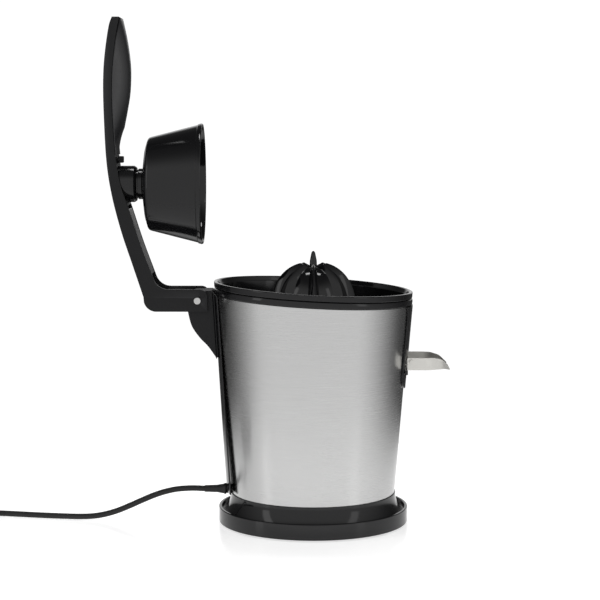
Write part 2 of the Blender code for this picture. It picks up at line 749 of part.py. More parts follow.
def build_strainer():
    rim, floor = STRAINER_RIM_Z, STRAINER_RIM_Z - 27.0
    underside = floor - 1.6
    sleeve_top = HUB_BOTTOM + 15.0
    profile = [
        (STRAINER_R, rim),
        (STRAINER_R, rim - 1.2),
        (79.0, rim - 1.2),
        (77.6, rim - 3.0),
        (56.6, underside + 3.6),
        (51.8, underside),
        (14.5, underside),
        (14.5, sleeve_top),
        (17.3, sleeve_top),
        (17.3, floor),
        (51.2, floor),
        (55.4, floor + 2.9),
        (76.0, rim - 2.6),
        (78.2, rim),
    ]
    strainer = turned("strainer", profile, GLOSS_BLACK)
    slots = 16
    for k in range(slots):
        turn = Matrix.Rotation(2 * math.pi * (k + 0.5) / slots, 4, "Z")
        slot = block(f"juice_slot_{k + 1}", (36, -1.4, underside - 2), (50, 1.4, floor + 2))
        slot.matrix_world = turn
        cut(strainer, slot)

    def wall_z(r):
        foot_r, foot_z, top_r, top_z = 56.6, underside + 3.6, 77.6, rim - 3.0
        return foot_z + (r - foot_r) * (top_z - foot_z) / (top_r - foot_r)

    lip = rim - 3.5
    pulp = turned(
        "pulp_ring",
        [
            (STRAINER_R - 0.1, lip),
            (STRAINER_R - 0.1, lip - 1.2),
            (77.9, lip - 1.2),
            (67.4, wall_z(66.4) - 2.0),
            (66.4, wall_z(66.4) - 0.7),
            (77.2, wall_z(77.2) - 0.7),
            (78.2, lip),
        ],
        GLOSS_BLACK,
    )
    tab = block("pulp_tab", (STRAINER_R - 2.0, -3.2, lip - 1.2), (88.7, 3.2, lip))
    peg = rod("pulp_peg", (86.4, 0, lip - 0.6), (86.4, 0, rim + 8.7), 2.2, None, 12)
    peg_top = rod("pulp_peg_top", (86.4, 0, rim + 8.6), (86.4, 0, rim + 9.9), 2.2, None, 12, 1.0)
    join(pulp, tab, peg, peg_top)

    hub_top = rim
    turned(
        "hub_ring",
        [
            (SPINDLE_R + 1.2, hub_top - 1.8),
            (12.0, hub_top - 1.8),
            (13.2, hub_top),
            (HUB_R - 2.4, hub_top),
            (HUB_R, hub_top - 2.4),
            (HUB_R, HUB_BOTTOM),
            (HUB_R - 3.4, HUB_BOTTOM),
            (HUB_R - 3.4, hub_top - 5.0),
            (SPINDLE_R + 1.2, hub_top - 5.0),
        ],
        GLOSS_BLACK, 32,
    )


def ridge_depth(angle, share, depth):
    """How far the surface sinks between two ridges, fading to nothing at the foot of the dome."""
    wave = abs(math.sin(RIDGES * angle / 2))
    return depth * wave**0.8 * math.sin(math.pi * min(1.0, share * 0.9 + 0.12)) ** 0.6


def cone_solid(name, foot, ring_r, ring_h, dome_r, dome_h, depth, power, finish):
    """A reamer: a ring, a ridged dome on it and a smooth hollow underneath."""
    around = RIDGES * 5
    rows = 7
    shape = bmesh.new()
    loops = []

    def loop(radius_at, z):
        turns = (2 * math.pi * k / around for k in range(around))
        loops.append([shape.verts.new((radius_at(t) * math.cos(t), radius_at(t) * math.sin(t), z)) for t in turns])

    inner_h = dome_h - CONE_T * 1.6
    hollow_r = dome_r - CONE_T - depth
    hollow_rows = 4
    for k in range(hollow_rows - 1, -1, -1):
        lift = k / hollow_rows
        loop(lambda t, s=lift: hollow_r * (1 - s**2) ** 0.5, foot + ring_h + inner_h * lift - CONE_T)
    loop(lambda t: hollow_r, foot + 0.0)
    loop(lambda t: ring_r - 0.7, foot)
    loop(lambda t: ring_r, foot + 0.7)
    loop(lambda t: ring_r, foot + ring_h - 0.8)
    loop(lambda t: ring_r - 0.8, foot + ring_h)
    for k in range(rows):
        lift = k / rows
        loop(
            lambda t, s=lift: dome_r * (1 - s**power) ** (1 / power) - ridge_depth(t, s, depth),
            foot + ring_h + dome_h * lift,
        )
    for lower, upper in zip(loops, loops[1:]):
        for k in range(around):
            m = (k + 1) % around
            shape.faces.new((lower[k], lower[m], upper[m], upper[k]))
    inside_top = shape.verts.new((0, 0, foot + ring_h + inner_h - CONE_T))
    outside_top = shape.verts.new((0, 0, foot + ring_h + dome_h))
    for k in range(around):
        m = (k + 1) % around
        shape.faces.new((loops[0][m], loops[0][k], inside_top))
        shape.faces.new((loops[-1][k], loops[-1][m], outside_top))
    return smooth_shade(from_bmesh(name, shape, finish), 40)


def build_cones():
    small = cone_solid("small_cone", SMALL_CONE_Z, SMALL_RING_R, SMALL_RING_H, SMALL_DOME_R, SMALL_DOME_H,
                       2.6, 2.2, GLOSS_BLACK)
    ear_outline = [
        (SMALL_RING_R - 6, SMALL_CONE_Z + 1.2),
        (SMALL_RING_R + 4, SMALL_CONE_Z + 1.6),
        (EAR_TIP_X - 4, SMALL_CONE_Z + 4.6),
        (EAR_TIP_X, SMALL_CONE_Z + 6.0),
        (EAR_TIP_X - 1.0, SMALL_CONE_Z + 7.2),
        (SMALL_RING_R - 6, SMALL_CONE_Z + 7.4),
    ]
    other_ear = [(-x, z) for x, z in ear_outline]
    right = outline_solid("ear_right", [ear_outline], -6, 6, None, "XZ")
    left = outline_solid("ear_left", [other_ear], -6, 6, None, "XZ")
    socket_low = STRAINER_RIM_Z + 1.2
    socket = rod("cone_socket", (0, 0, socket_low), (0, 0, SMALL_CONE_Z + SMALL_RING_H + SMALL_DOME_H - 3), 9.0)
    socket_hole = rod("cone_socket_hole", (0, 0, socket_low - 4), (0, 0, SPINDLE_TOP + 1.5), SPINDLE_R + 0.5, None, 16)
    join(small, right, left, socket)
    cut(small, socket_hole)

    large = cone_solid("large_cone", LARGE_CONE_Z, LARGE_RING_R, LARGE_RING_H, LARGE_DOME_R, LARGE_DOME_H,
                       3.4, 2.3, GLOSS_BLACK)
    tip_z = LARGE_CONE_Z + LARGE_RING_H + LARGE_DOME_H
    spike = rod("large_cone_spike", (0, 0, tip_z - 4), (0, 0, tip_z + SPIKE_H), 3.6, None, 16, 1.5)
    join(large, spike)


# --- spout ---


def build_spout():
    tip_x = 130.0
    low, high = 149.4, 161.0
    inner = SPOUT_HALF - SPOUT_T
    side = [
        (SPOUT_ROOT_X, low),
        (tip_x - 4.0, low),
        (tip_x, low - 2.2),
        (tip_x - 0.6, low + 1.0),
        (tip_x - 6.5, high - 4.6),
        (tip_x - 13.0, high - 1.6),
        (tip_x - 21.5, high),
        (SPOUT_ROOT_X, high),
    ]
    spout = outline_solid("spout", [side], -SPOUT_HALF, SPOUT_HALF, STEEL, "XZ")
    beak = [
        (SPOUT_ROOT_X - 1, -SPOUT_HALF), (111.0, -SPOUT_HALF), (122.0, -17.5), (tip_x + 1, -5.0),
        (tip_x + 1, 5.0), (122.0, 17.5), (111.0, SPOUT_HALF), (SPOUT_ROOT_X - 1, SPOUT_HALF),
    ]
    trim_to(spout, outline_solid("spout_plan", [beak], low - 20, high + 20))
    trough = [
        (SPOUT_ROOT_X - 5, -inner), (110.7, -inner), (121.4, -16.9), (tip_x + 3, -3.6),
        (tip_x + 3, 3.6), (121.4, 16.9), (110.7, inner), (SPOUT_ROOT_X - 5, inner),
    ]
    cut(spout, outline_solid("spout_trough", [trough], low + SPOUT_T, high + 20))
    for number, side_sign in enumerate((-1, 1), 1):
        x, z = SPOUT_PIVOT
        join(spout, rod(f"spout_journal_{number}", (x, side_sign * (inner + 0.2), z),
                        (x, side_sign * (WINDOW_HALF - GAP), z), 1.7, None, 12))


# --- mains lead ---


CORD_ROUTE = [
    (-104.3, 0.0, 31.5), (-113.0, 0.0, 31.9), (-122.0, 0.0, 31.7), (-132.0, 0.1, 30.7), (-143.0, 0.3, 28.2),
    (-154.0, 0.6, 24.4), (-165.0, 1.0, 19.6), (-176.0, 1.5, 14.6), (-187.0, 2.1, 9.9), (-199.0, 2.9, 6.1),
    (-211.0, 3.9, 3.8), (-224.0, 5.2, 2.95), (-238.0, 7.0, 2.85), (-252.0, 9.2, 2.85), (-266.0, 11.9, 2.85),
    (-280.0, 14.9, 2.85), (-294.0, 18.0, 2.85), (-308.0, 20.9, 2.85), (-321.0, 23.0, 2.85), (-333.4, 24.0, 2.85),
]
CORD_TAIL = [
    (-317.0, 7.6, 8.5), (-317.0, 16.0, 8.7), (-317.0, 24.0, 8.8), (-317.5, 32.0, 8.0), (-319.6, 39.5, 6.8),
    (-323.6, 46.0, 6.0), (-329.2, 50.6, 5.8), (-335.6, 53.2, 6.4), (-342.7, 54.0, 7.0),
]


def cord_tube(name, route, steps):
    curve = bpy.data.curves.new(name, "CURVE")
    curve.dimensions = "3D"
    curve.bevel_depth = CORD_R * MM
    curve.bevel_resolution = 2
    curve.use_fill_caps = True
    points = smooth(route, steps)
    spline = curve.splines.new("POLY")
    spline.points.add(len(points) - 1)
    for point, (x, y, z) in zip(spline.points, points):
        point.co = (x * MM, y * MM, z * MM, 1)
    place(bpy.data.objects.new(name, curve), name, RUBBER)


def build_cord():
    gland = turned(
        "cord_gland",
        [(0, 20.0), (3.5, 20.0), (4.6, 4.0), (5.6, 2.0), (5.6, -0.4), (GLAND_R, -0.4), (GLAND_R, -8.0), (0, -8.0)],
        RUBBER, 16,
    )
    gland.rotation_euler = (0, -math.pi / 2, 0)
    gland.location = ((CORD_EXIT_X + 20.0) * MM, 0, CORD_EXIT_Z * MM)
    cord_tube("cord_lead", CORD_ROUTE, 2)
    cord_tube("cord_tail", CORD_TAIL, 2)

    half = 2.4
    turned(
        "cord_coil",
        [(COIL_OUTER_R, COIL_HEIGHT - half), (COIL_OUTER_R, half), (COIL_OUTER_R - half, 0.1),
         (COIL_INNER_R + half, 0.1), (COIL_INNER_R, half), (COIL_INNER_R, COIL_HEIGHT - half),
         (COIL_INNER_R + half, COIL_HEIGHT), (COIL_OUTER_R - half, COIL_HEIGHT)],
        RUBBER, 24, (COIL_X, COIL_Y),
    )
    build_tie()
    build_plug()


def build_tie():
    """A flat strap round the bundle of turns, on the side away from the plug."""
    y = COIL_Y - (COIL_INNER_R + COIL_OUTER_R) / 2
    half = (COIL_OUTER_R - COIL_INNER_R) / 2 + 0.6
    wall = 1.2
    outer = (y - half - wall, y + half + wall)
    strap = block("cord_tie", (COIL_X - 4, outer[0], 0.05), (COIL_X + 4, outer[1], COIL_HEIGHT + 0.4 + wall), RUBBER)
    inside = block("tie_inside", (COIL_X - 6, y - half, -2), (COIL_X + 6, y + half, COIL_HEIGHT + 0.4))
    cut(strap, inside)


def build_plug():
    """A flat two-pin plug lying on its wide face, its pins pointing away from the juicer."""
    body_x, body_end = PLUG_X - 21.0, PLUG_X - 44.0
    half_width, half_height = 17.0, 6.9
    outline = [
        (body_x, PLUG_Y - 7.0), (body_x, PLUG_Y + 7.0), (body_x - 8.0, PLUG_Y + half_width - 2.0),
        (body_x - 13.0, PLUG_Y + half_width), (body_end, PLUG_Y + half_width), (body_end, PLUG_Y - half_width),
        (body_x - 13.0, PLUG_Y - half_width), (body_x - 8.0, PLUG_Y - half_width + 2.0),
    ]
    plug = outline_solid("plug", [outline], PLUG_Z - half_height, PLUG_Z + half_height, RUBBER)
    boot = rod("plug_boot", (body_x - 2, PLUG_Y, PLUG_Z), (PLUG_X - GAP, PLUG_Y, PLUG_Z), 5.6, None, 16, 3.6)
    join(plug, boot)
    for number, side in enumerate((-1, 1), 1):
        y = PLUG_Y + side * 9.4
        rod(f"plug_pin_{number}", (body_end - GAP, y, PLUG_Z), (body_end - 19.0, y, PLUG_Z), 2.0, BRASS, 12)


# --- assemble ---

build_base()
build_body()
build_bowl()
build_drive()
build_hinge()
build_lever()
build_grip()
build_bell()
build_strainer()
build_cones()
build_spout()
build_cord()
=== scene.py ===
import json
import math

import bmesh
import bpy
from mathutils import Matrix, Vector


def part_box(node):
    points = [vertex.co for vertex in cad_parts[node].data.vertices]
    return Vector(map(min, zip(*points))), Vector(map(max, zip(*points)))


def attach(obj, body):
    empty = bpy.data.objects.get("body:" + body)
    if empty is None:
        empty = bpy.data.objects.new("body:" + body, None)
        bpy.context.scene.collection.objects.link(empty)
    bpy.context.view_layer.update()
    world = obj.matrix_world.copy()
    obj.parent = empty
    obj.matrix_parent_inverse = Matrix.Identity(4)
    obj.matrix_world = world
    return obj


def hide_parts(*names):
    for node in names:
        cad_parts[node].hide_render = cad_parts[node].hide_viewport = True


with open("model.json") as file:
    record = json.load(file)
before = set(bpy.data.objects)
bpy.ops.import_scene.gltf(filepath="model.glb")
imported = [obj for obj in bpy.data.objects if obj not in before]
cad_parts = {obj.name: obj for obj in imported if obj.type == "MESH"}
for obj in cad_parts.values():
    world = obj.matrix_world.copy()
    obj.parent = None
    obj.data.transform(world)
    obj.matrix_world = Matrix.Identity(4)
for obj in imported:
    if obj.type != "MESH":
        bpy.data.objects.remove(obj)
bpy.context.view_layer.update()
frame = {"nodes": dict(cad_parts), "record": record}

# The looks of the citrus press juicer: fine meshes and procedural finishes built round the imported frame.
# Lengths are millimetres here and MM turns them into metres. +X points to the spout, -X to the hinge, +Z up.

MM = 0.001
GAP = 0.3


def box(node):
    """Lowest and highest corner of a node at rest, in millimetres."""
    low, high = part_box(node)
    return low / MM, high / MM


def halfway(low, high):
    return (low + high) / 2


# --- sizes read from the frame ---

TRAY_LOW, TRAY_HIGH = box("base_tray")
SPINE_LOW, SPINE_HIGH = box("rear_spine")
PIN_LOW, PIN_HIGH = box("hinge_pin")
ARM_LOW, ARM_HIGH = box("lever_arm")
BELL_LOW, BELL_HIGH = box("bell_cup")
SPOUT_LOW, SPOUT_HIGH = box("spout")
SPINDLE_LOW, SPINDLE_HIGH = box("spindle")
COIL_LOW, COIL_HIGH = box("cord_coil")
STRAINER_TOP = box("strainer")[1]

BASE_R = TRAY_HIGH.y
BASE_FACE_TOP = 16.4
BASE_VALLEY_Z = 11.7
STEEL_FOOT = box("steel_shell")[0].z
STEEL_TAPER = 0.0795
STEEL_FOOT_R = 77.9
STEEL_T = 0.8
SPINE_TAPER = 0.063
SPINE_FOOT_R = 82.8
RIM_TILT = math.radians(3.1)
RIM_Z = 227.0
RIM_R = 94.2
RIM_T = 5.8
STEEL_TOP = RIM_Z - 2 * RIM_T - 3 * GAP
LEDGE_Z = STRAINER_TOP.z - 5.2
BOWL_FLOOR_Z = 172.0
PIN_X, PIN_Z = halfway(PIN_LOW.x, PIN_HIGH.x), halfway(PIN_LOW.z, PIN_HIGH.z)
PIN_R = (PIN_HIGH.x - PIN_LOW.x) / 2
BELL_Z = halfway(BELL_LOW.z, BELL_HIGH.z)
CORD_R = 2.75
CORD_Z = 31.5
CORD_WAY_R = 4.7


def steel_r(z):
    return STEEL_FOOT_R + STEEL_TAPER * (z - STEEL_FOOT)


def spine_r(z):
    return SPINE_FOOT_R + SPINE_TAPER * (z - STEEL_FOOT)


# --- node materials ---

MIX_INPUTS = (6, 7)
MIX_RESULT = 2


def feed(tree, value, socket):
    """Links a node's output to a socket, or sets the socket to a plain value."""
    if isinstance(value, bpy.types.NodeSocket):
        tree.links.new(value, socket)
    else:
        socket.default_value = value


def calculate(tree, operation, first, second):
    node = tree.nodes.new("ShaderNodeMath")
    node.operation = operation
    feed(tree, first, node.inputs[0])
    feed(tree, second, node.inputs[1])
    return node.outputs["Value"]


def ramp(tree, value, start, stop, low, high, curve="SMOOTHSTEP"):
    """Goes from low to high as a value goes from start to stop."""
    node = tree.nodes.new("ShaderNodeMapRange")
    node.interpolation_type = curve
    keys = ("Value", "From Min", "From Max", "To Min", "To Max")
    for key, part in zip(keys, (value, start, stop, low, high)):
        feed(tree, part, node.inputs[key])
    return node.outputs["Result"]


def mix_shaders(tree, factor, first, second, output):
    mix = tree.nodes.new("ShaderNodeMixShader")
    for socket, value in zip(mix.inputs, (factor, first, second)):
        feed(tree, value, socket)
    feed(tree, mix.outputs["Shader"], tree.nodes[output].inputs["Surface"])


class Finish:
    """A Principled material with helpers that add the nodes feeding it."""

    def __init__(self, name, roughness, metallic=0.0):
        self.material = bpy.data.materials.new(name)
        self.material.use_nodes = True
        self.tree = self.material.node_tree
        self.inputs = self.tree.nodes["Principled BSDF"].inputs
        self.inputs["Roughness"].default_value = roughness
        self.inputs["Metallic"].default_value = metallic

    def add(self, kind, **inputs):
        node = self.tree.nodes.new(kind)
        for key, value in inputs.items():
            feed(self.tree, value, node.inputs[key])
        return node

    def place(self):
        return self.add("ShaderNodeTexCoord").outputs["Object"]

    def math(self, operation, first, second):
        return calculate(self.tree, operation, first, second)

    def noise(self, vector, scale, detail=4.0, rough=0.5):
        node = self.add("ShaderNodeTexNoise", Vector=vector, Scale=scale, Detail=detail, Roughness=rough)
        return node.outputs["Fac"]

    def spread(self, value, low, high, start=0.3, stop=0.7):
        return ramp(self.tree, value, start, stop, low, high, "LINEAR")

    def mix(self, factor, *colours):
        """Blends two colours, each one a socket or (r, g, b)."""
        node = self.tree.nodes.new("ShaderNodeMix")
        node.data_type = "RGBA"
        feed(self.tree, factor, node.inputs["Factor"])
        for number, colour in zip(MIX_INPUTS, colours):
            feed(self.tree, (*colour, 1.0) if isinstance(colour, tuple) else colour, node.inputs[number])
        return node.outputs[MIX_RESULT]

    def edges(self):
        """From 0 on flat faces to 1 on convex edges."""
        geometry = self.add("ShaderNodeNewGeometry")
        return self.spread(geometry.outputs["Pointiness"], 0.0, 1.0, 0.52, 0.62)

    def drive(self, key, socket):
        self.tree.links.new(socket, self.inputs[key])

    def bump(self, height, distance, strength=1.0):
        node = self.add("ShaderNodeBump", Height=height, Distance=distance * MM, Strength=strength)
        self.drive("Normal", node.outputs["Normal"])


def lit(colour, share):
    return tuple(min(1.0, part * share) for part in colour)


def moulded(name, colour, rough, grain, depth, smudge=0.04, edge_highlight_lift=1.6, ior=1.5):
    """Moulded plastic or rubber: fine grain, smudged gloss, rougher edges, and a painted highlight that makes
    convex edges paler.
    """
    made = Finish(name, sum(rough) / 2)
    made.inputs["IOR"].default_value = ior
    place = made.place()
    cloud = made.noise(place, 18.0, 5.0)
    speck = made.noise(place, grain, 3.0, 0.6)
    # Painted highlight: convex edges get a paler copy of the colour.
    painted_edge_highlight = tuple(min(1.0, part * edge_highlight_lift + 0.004) for part in colour)
    mottle = made.mix(made.spread(cloud, 0.0, 1.0), colour, tuple(part * 1.25 for part in colour))
    made.drive("Base Color", made.mix(made.edges(), mottle, painted_edge_highlight))
    hazy = made.spread(cloud, rough[0], rough[1], 0.35, 0.65)
    streak = made.spread(made.noise(place, 260.0, 2.0), -smudge, smudge)
    rubbed = made.math("MULTIPLY", made.edges(), 0.05)
    made.drive("Roughness", made.math("ADD", hazy, made.math("ADD", streak, rubbed)))
    made.bump(speck, depth)
    return made.material


def brushed(name, colour, rough, radius=None, anisotropy=0.0):
    """Brushed metal: fine lines run round the Z axis at a radius, or along X where no radius is given."""
    lines_across, lines_along = 2600.0, 22.0
    made = Finish(name, sum(rough) / 2, 1.0)
    place = made.place()
    parts = made.add("ShaderNodeSeparateXYZ", Vector=place)
    run, layer = parts.outputs["X"], 0.0
    if radius:
        turn = made.math("ARCTAN2", parts.outputs["Y"], parts.outputs["X"])
        run = made.math("MULTIPLY", turn, radius * MM)
        tangent = made.add("ShaderNodeTangent")
        tangent.direction_type = "RADIAL"
        tangent.axis = "Z"
        made.drive("Tangent", tangent.outputs["Tangent"])
        made.inputs["Anisotropic Rotation"].default_value = 0.25
    else:
        layer = made.math("MULTIPLY", parts.outputs["Y"], lines_across)
    made.inputs["Anisotropic"].default_value = anisotropy
    run = made.math("MULTIPLY", run, lines_along)
    across = made.math("MULTIPLY", parts.outputs["Z"], lines_across)
    lines = made.add("ShaderNodeCombineXYZ", X=run, Y=across, Z=layer)
    scratch = made.noise(lines.outputs["Vector"], 1.0, 6.0, 0.65)
    cloud = made.noise(place, 9.0, 3.0)
    tone = made.spread(scratch, 0.0, 1.0, 0.25, 0.75)
    made.drive("Base Color", made.mix(tone, lit(colour, 0.93), lit(colour, 1.05)))
    base = made.spread(scratch, rough[0], rough[1], 0.25, 0.75)
    made.drive("Roughness", made.math("ADD", base, made.spread(cloud, -0.02, 0.02)))
    made.bump(scratch, 0.012, 0.6)
    return made.material


def plain_metal(name, colour, rough, grain=900.0, depth=0.01):
    """Turned, plated or cast metal: patchy tone, uneven roughness and a fine surface."""
    made = Finish(name, sum(rough) / 2, 1.0)
    place = made.place()
    cloud = made.noise(place, 40.0, 5.0)
    fine = made.noise(place, grain, 3.0, 0.6)
    tone = made.mix(made.spread(cloud, 0.0, 1.0), lit(colour, 0.84), colour)
    # Painted highlight: convex edges get a lighter copy of the colour.
    made.drive("Base Color", made.mix(made.edges(), tone, lit(colour, 1.15)))
    made.drive("Roughness", made.spread(fine, rough[0], rough[1]))
    made.bump(fine, depth)
    return made.material


FINISH = {
    "gloss_black": moulded("gloss_black_plastic", (0.0045, 0.0045, 0.005), (0.07, 0.13), 420.0, 0.004, 0.012,
                           ior=1.39),
    "satin_black": moulded("satin_black_plastic", (0.009, 0.009, 0.0095), (0.16, 0.26), 1500.0, 0.012, 0.03,
                           ior=1.45),
    # The matt finish carries the strongest painted edge highlight.
    "matt_black": moulded("matt_black_finish", (0.0065, 0.0065, 0.007), (0.40, 0.50), 2400.0, 0.03,
                          edge_highlight_lift=3.0, ior=1.27),
    "grip_black": moulded("grip_black", (0.014, 0.014, 0.015), (0.28, 0.38), 420.0, 0.004, 0.03, 1.4),
    "rubber": moulded("black_rubber", (0.008, 0.008, 0.008), (0.42, 0.6), 1800.0, 0.03, ior=1.4),
    "gear_nylon": moulded("gear_nylon", (0.78, 0.76, 0.70), (0.38, 0.5), 1300.0, 0.02, 0.03, 1.05),
    "brushed_steel": brushed("brushed_steel", (0.52, 0.52, 0.518), (0.22, 0.30), 84.0, 0.5),
    "spout_steel": brushed("satin_spout_steel", (0.66, 0.65, 0.62), (0.54, 0.64)),
    "pin_steel": plain_metal("polished_pin_steel", (0.56, 0.56, 0.555), (0.2, 0.36)),
    "zinc_plate": plain_metal("zinc_plate", (0.6, 0.61, 0.63), (0.3, 0.5)),
    "motor_steel": plain_metal("motor_steel", (0.33, 0.34, 0.36), (0.35, 0.5)),
    "bronze": plain_metal("sintered_bronze", (0.52, 0.34, 0.17), (0.4, 0.6), 1600.0, 0.03),
    "plug_brass": plain_metal("plug_brass", (0.74, 0.58, 0.27), (0.2, 0.36)),
}


# --- mesh helpers ---


def shade(mesh, smooth_angle):
    mesh.shade_smooth()
    mesh.set_sharp_from_angle(angle=math.radians(smooth_angle))


def to_object(name, shape, smooth_angle=34.0):
    """A smooth-shaded object from a bmesh in millimetres."""
    bmesh.ops.transform(shape, matrix=Matrix.Scale(MM, 4), verts=shape.verts)
    bmesh.ops.recalc_face_normals(shape, faces=shape.faces)
    mesh = bpy.data.meshes.new(name)
    shape.to_mesh(mesh)
    shape.free()
    shade(mesh, smooth_angle)
    obj = bpy.data.objects.new(name, mesh)
    bpy.context.scene.collection.objects.link(obj)
    return obj


def settle(obj):
    """Applies an object's modifiers and its own placement, so that its shape is all in its mesh."""
    bpy.context.view_layer.update()
    graph = bpy.context.evaluated_depsgraph_get()
    mesh = bpy.data.meshes.new_from_object(obj.evaluated_get(graph))
    mesh.transform(obj.matrix_world)
    obj.modifiers.clear()
    obj.data = mesh
    obj.matrix_world = Matrix.Identity(4)
    shade(mesh, 34.0)
    return obj


def lay(obj, place, turn):
    """Turns an upright piece by degrees about X, Y and Z, moves it to a place and settles it."""
    obj.location = Vector(place) * MM
    obj.rotation_euler = [math.radians(angle) for angle in turn]
    return settle(obj)


def combine(obj, operation, *tools):
    for tool in tools:
        step = obj.modifiers.new(operation.lower(), "BOOLEAN")
        step.operation = operation
        step.object = tool
        step.solver = "EXACT"
    settle(obj)
    for tool in tools:
        bpy.data.objects.remove(tool)
    return obj


def cut(obj, *tools):
    return combine(obj, "DIFFERENCE", *tools)


def join(obj, *tools):
    return combine(obj, "UNION", *tools)


def soften(obj, width, segments=3, angle=38.0):
    """Rounds the edges between faces that meet at more than an angle."""
    step = obj.modifiers.new("rounded_edges", "BEVEL")
    step.width = width * MM
    step.segments = segments
    step.limit_method = "ANGLE"
    step.angle_limit = math.radians(angle)
    step.harden_normals = True
    return obj


def thicken(obj, thickness, even=False):
    """Gives an open sheet its thickness, on the side away from its outward normals."""
    step = obj.modifiers.new("thickness", "SOLIDIFY")
    step.thickness = thickness * MM
    step.offset = -1.0
    step.use_even_offset = even
    return settle(obj)


def rounded(corners, closed=True):
    """An outline whose corners, given as (u, v) or (u, v, radius), are turned into arcs."""
    count = len(corners)
    found = []
    for k, corner in enumerate(corners):
        here = Vector(corner[:2])
        radius = corner[2] if len(corner) > 2 else 0.0
        if radius <= 0 or (not closed and k in (0, count - 1)):
            found.append(tuple(here))
            continue
        before = Vector(corners[k - 1][:2]) - here
        after = Vector(corners[(k + 1) % count][:2]) - here
        angle = before.angle(after)
        reach = min(radius / math.tan(angle / 2), 0.49 * before.length, 0.49 * after.length)
        turn = reach * math.tan(angle / 2)
        bisector = (before.normalized() + after.normalized()).normalized()
        centre = here + bisector * (turn / math.sin(angle / 2))
        first = here + before.normalized() * reach - centre
        last = here + after.normalized() * reach - centre
        steps = max(2, round(math.degrees(math.pi - angle) / 15))
        start = math.atan2(first.y, first.x)
        sweep = math.atan2(last.y, last.x) - start
        sweep = (sweep + math.pi) % (2 * math.pi) - math.pi
        for j in range(steps + 1):
            t = start + sweep * j / steps
            found.append((centre.x + turn * math.cos(t), centre.y + turn * math.sin(t)))
    return found


def arc(centre, radius, first, last, steps):
    """Points on an arc whose ends are given in degrees."""
    turns = (math.radians(first + (last - first) * k / steps) for k in range(steps + 1))
    return [(centre[0] + radius * math.cos(t), centre[1] + radius * math.sin(t)) for t in turns]


def join_rows(shape, rows, closed=True):
    """Faces between neighbouring rows of vertices. A row of one vertex is a pole."""
    for first, second in zip(rows, rows[1:]):
        count = max(len(first), len(second))
        for k in range(count if closed else count - 1):
            m = (k + 1) % count
            if count == 1:
                continue
            if len(first) == 1:
                shape.faces.new((first[0], second[m], second[k]))
            elif len(second) == 1:
                shape.faces.new((first[k], first[m], second[0]))
            else:
                shape.faces.new((first[k], first[m], second[m], second[k]))


def lathe(name, corners, sides=192, at=(0.0, 0.0), warp=None):
    """Turns corners of (radius, height) about a vertical axis. An outline from the axis ends on the axis."""
    on_axis = corners[0][0] == 0
    shape = bmesh.new()
    rows = []
    for r, z in rounded(corners, not on_axis):
        turns = [2 * math.pi * k / sides for k in range(sides)] if r > 0 else [0.0]
        row = [Vector((at[0] + r * math.cos(t), at[1] + r * math.sin(t), z)) for t in turns]
        rows.append([shape.verts.new(warp(point) if warp else point) for point in row])
    if not on_axis:
        rows.append(rows[0])
    join_rows(shape, rows)
    return to_object(name, shape)


def prism(name, corners, low, high, plane="XZ"):
    """An outline with flat caps: (x, z) extruded along Y, (x, y) along Z or (y, z) along X."""
    lifts = {
        "XZ": lambda u, v, w: (u, w, v),
        "XY": lambda u, v, w: (u, v, w),
        "YZ": lambda u, v, w: (w, u, v),
    }
    lift = lifts[plane]
    outline = rounded(corners)
    shape = bmesh.new()
    first = [shape.verts.new(lift(u, v, low)) for u, v in outline]
    second = [shape.verts.new(lift(u, v, high)) for u, v in outline]
    shape.faces.new(first)
    shape.faces.new(reversed(second))
    join_rows(shape, [first, second])
    return to_object(name, shape)


def plate(low, high, radius=0.0):
    """Corners of a rectangle, all with one radius."""
    corners = ((low[0], low[1]), (high[0], low[1]), (high[0], high[1]), (low[0], high[1]))
    return [(*corner, radius) for corner in corners]


def mirrored(corners):
    """An outline's lower half and its mirror image in the first axis."""
    return corners + [(u, -v, *radius) for u, v, *radius in reversed(corners)]


def block(name, low, high):
    return prism(name, plate(low, high), low[2], high[2], "XY")


def rod(name, start, end, radius, sides=48):
    start, end = Vector(start), Vector(end)
    along = end - start
    turn = Vector((0, 0, 1)).rotation_difference(along).to_matrix().to_4x4()
    place = Matrix.Translation((start + end) / 2) @ turn
    shape = bmesh.new()
    bmesh.ops.create_cone(shape, cap_ends=True, segments=sides, radius1=radius, radius2=radius,
                          depth=along.length, matrix=place)
    return to_object(name, shape)


def cord_way(name, first_x=-60):
    return rod(name, (first_x, 0, CORD_Z), (-95, 0, CORD_Z), CORD_WAY_R)


def circle(centre, radius, sides=64):
    return arc(centre, radius, 0, 360, sides)[:-1]


def smooth(points, steps):
    """Points on one smooth curve that passes through all the given points."""
    points = [Vector(p) for p in points]
    ends = [2 * points[0] - points[1], *points, 2 * points[-1] - points[-2]]
    found = []
    for a, b, c, d in zip(ends, ends[1:], ends[2:], ends[3:]):
        for k in range(steps):
            t = k / steps
            blend = (c - a) * t + (2 * a - 5 * b + 4 * c - d) * t**2 + (3 * b - a - 3 * c + d) * t**3
            found.append(tuple(b + blend / 2))
    return [*found, tuple(points[-1])]


def finished(obj, body, slot, *nodes, look=None):
    """Gives a piece the finish of its material slot or look, puts it on its body and hides the frame nodes
    that it stands for.
    """
    obj.data.materials.clear()
    obj.data.materials.append(FINISH[look or slot])
    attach(obj, body)
    if nodes:
        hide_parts(*nodes)
    return obj


def slanted(point, foot, top):
    """Shifts a point down towards +X with the rim's slant: not at all at foot, and fully at top."""
    share = min(1.0, max(0.0, (point.z - foot) / (top - foot)))
    return Vector((point.x, point.y, point.z - math.tan(RIM_TILT) * point.x * share))


# --- camera ---


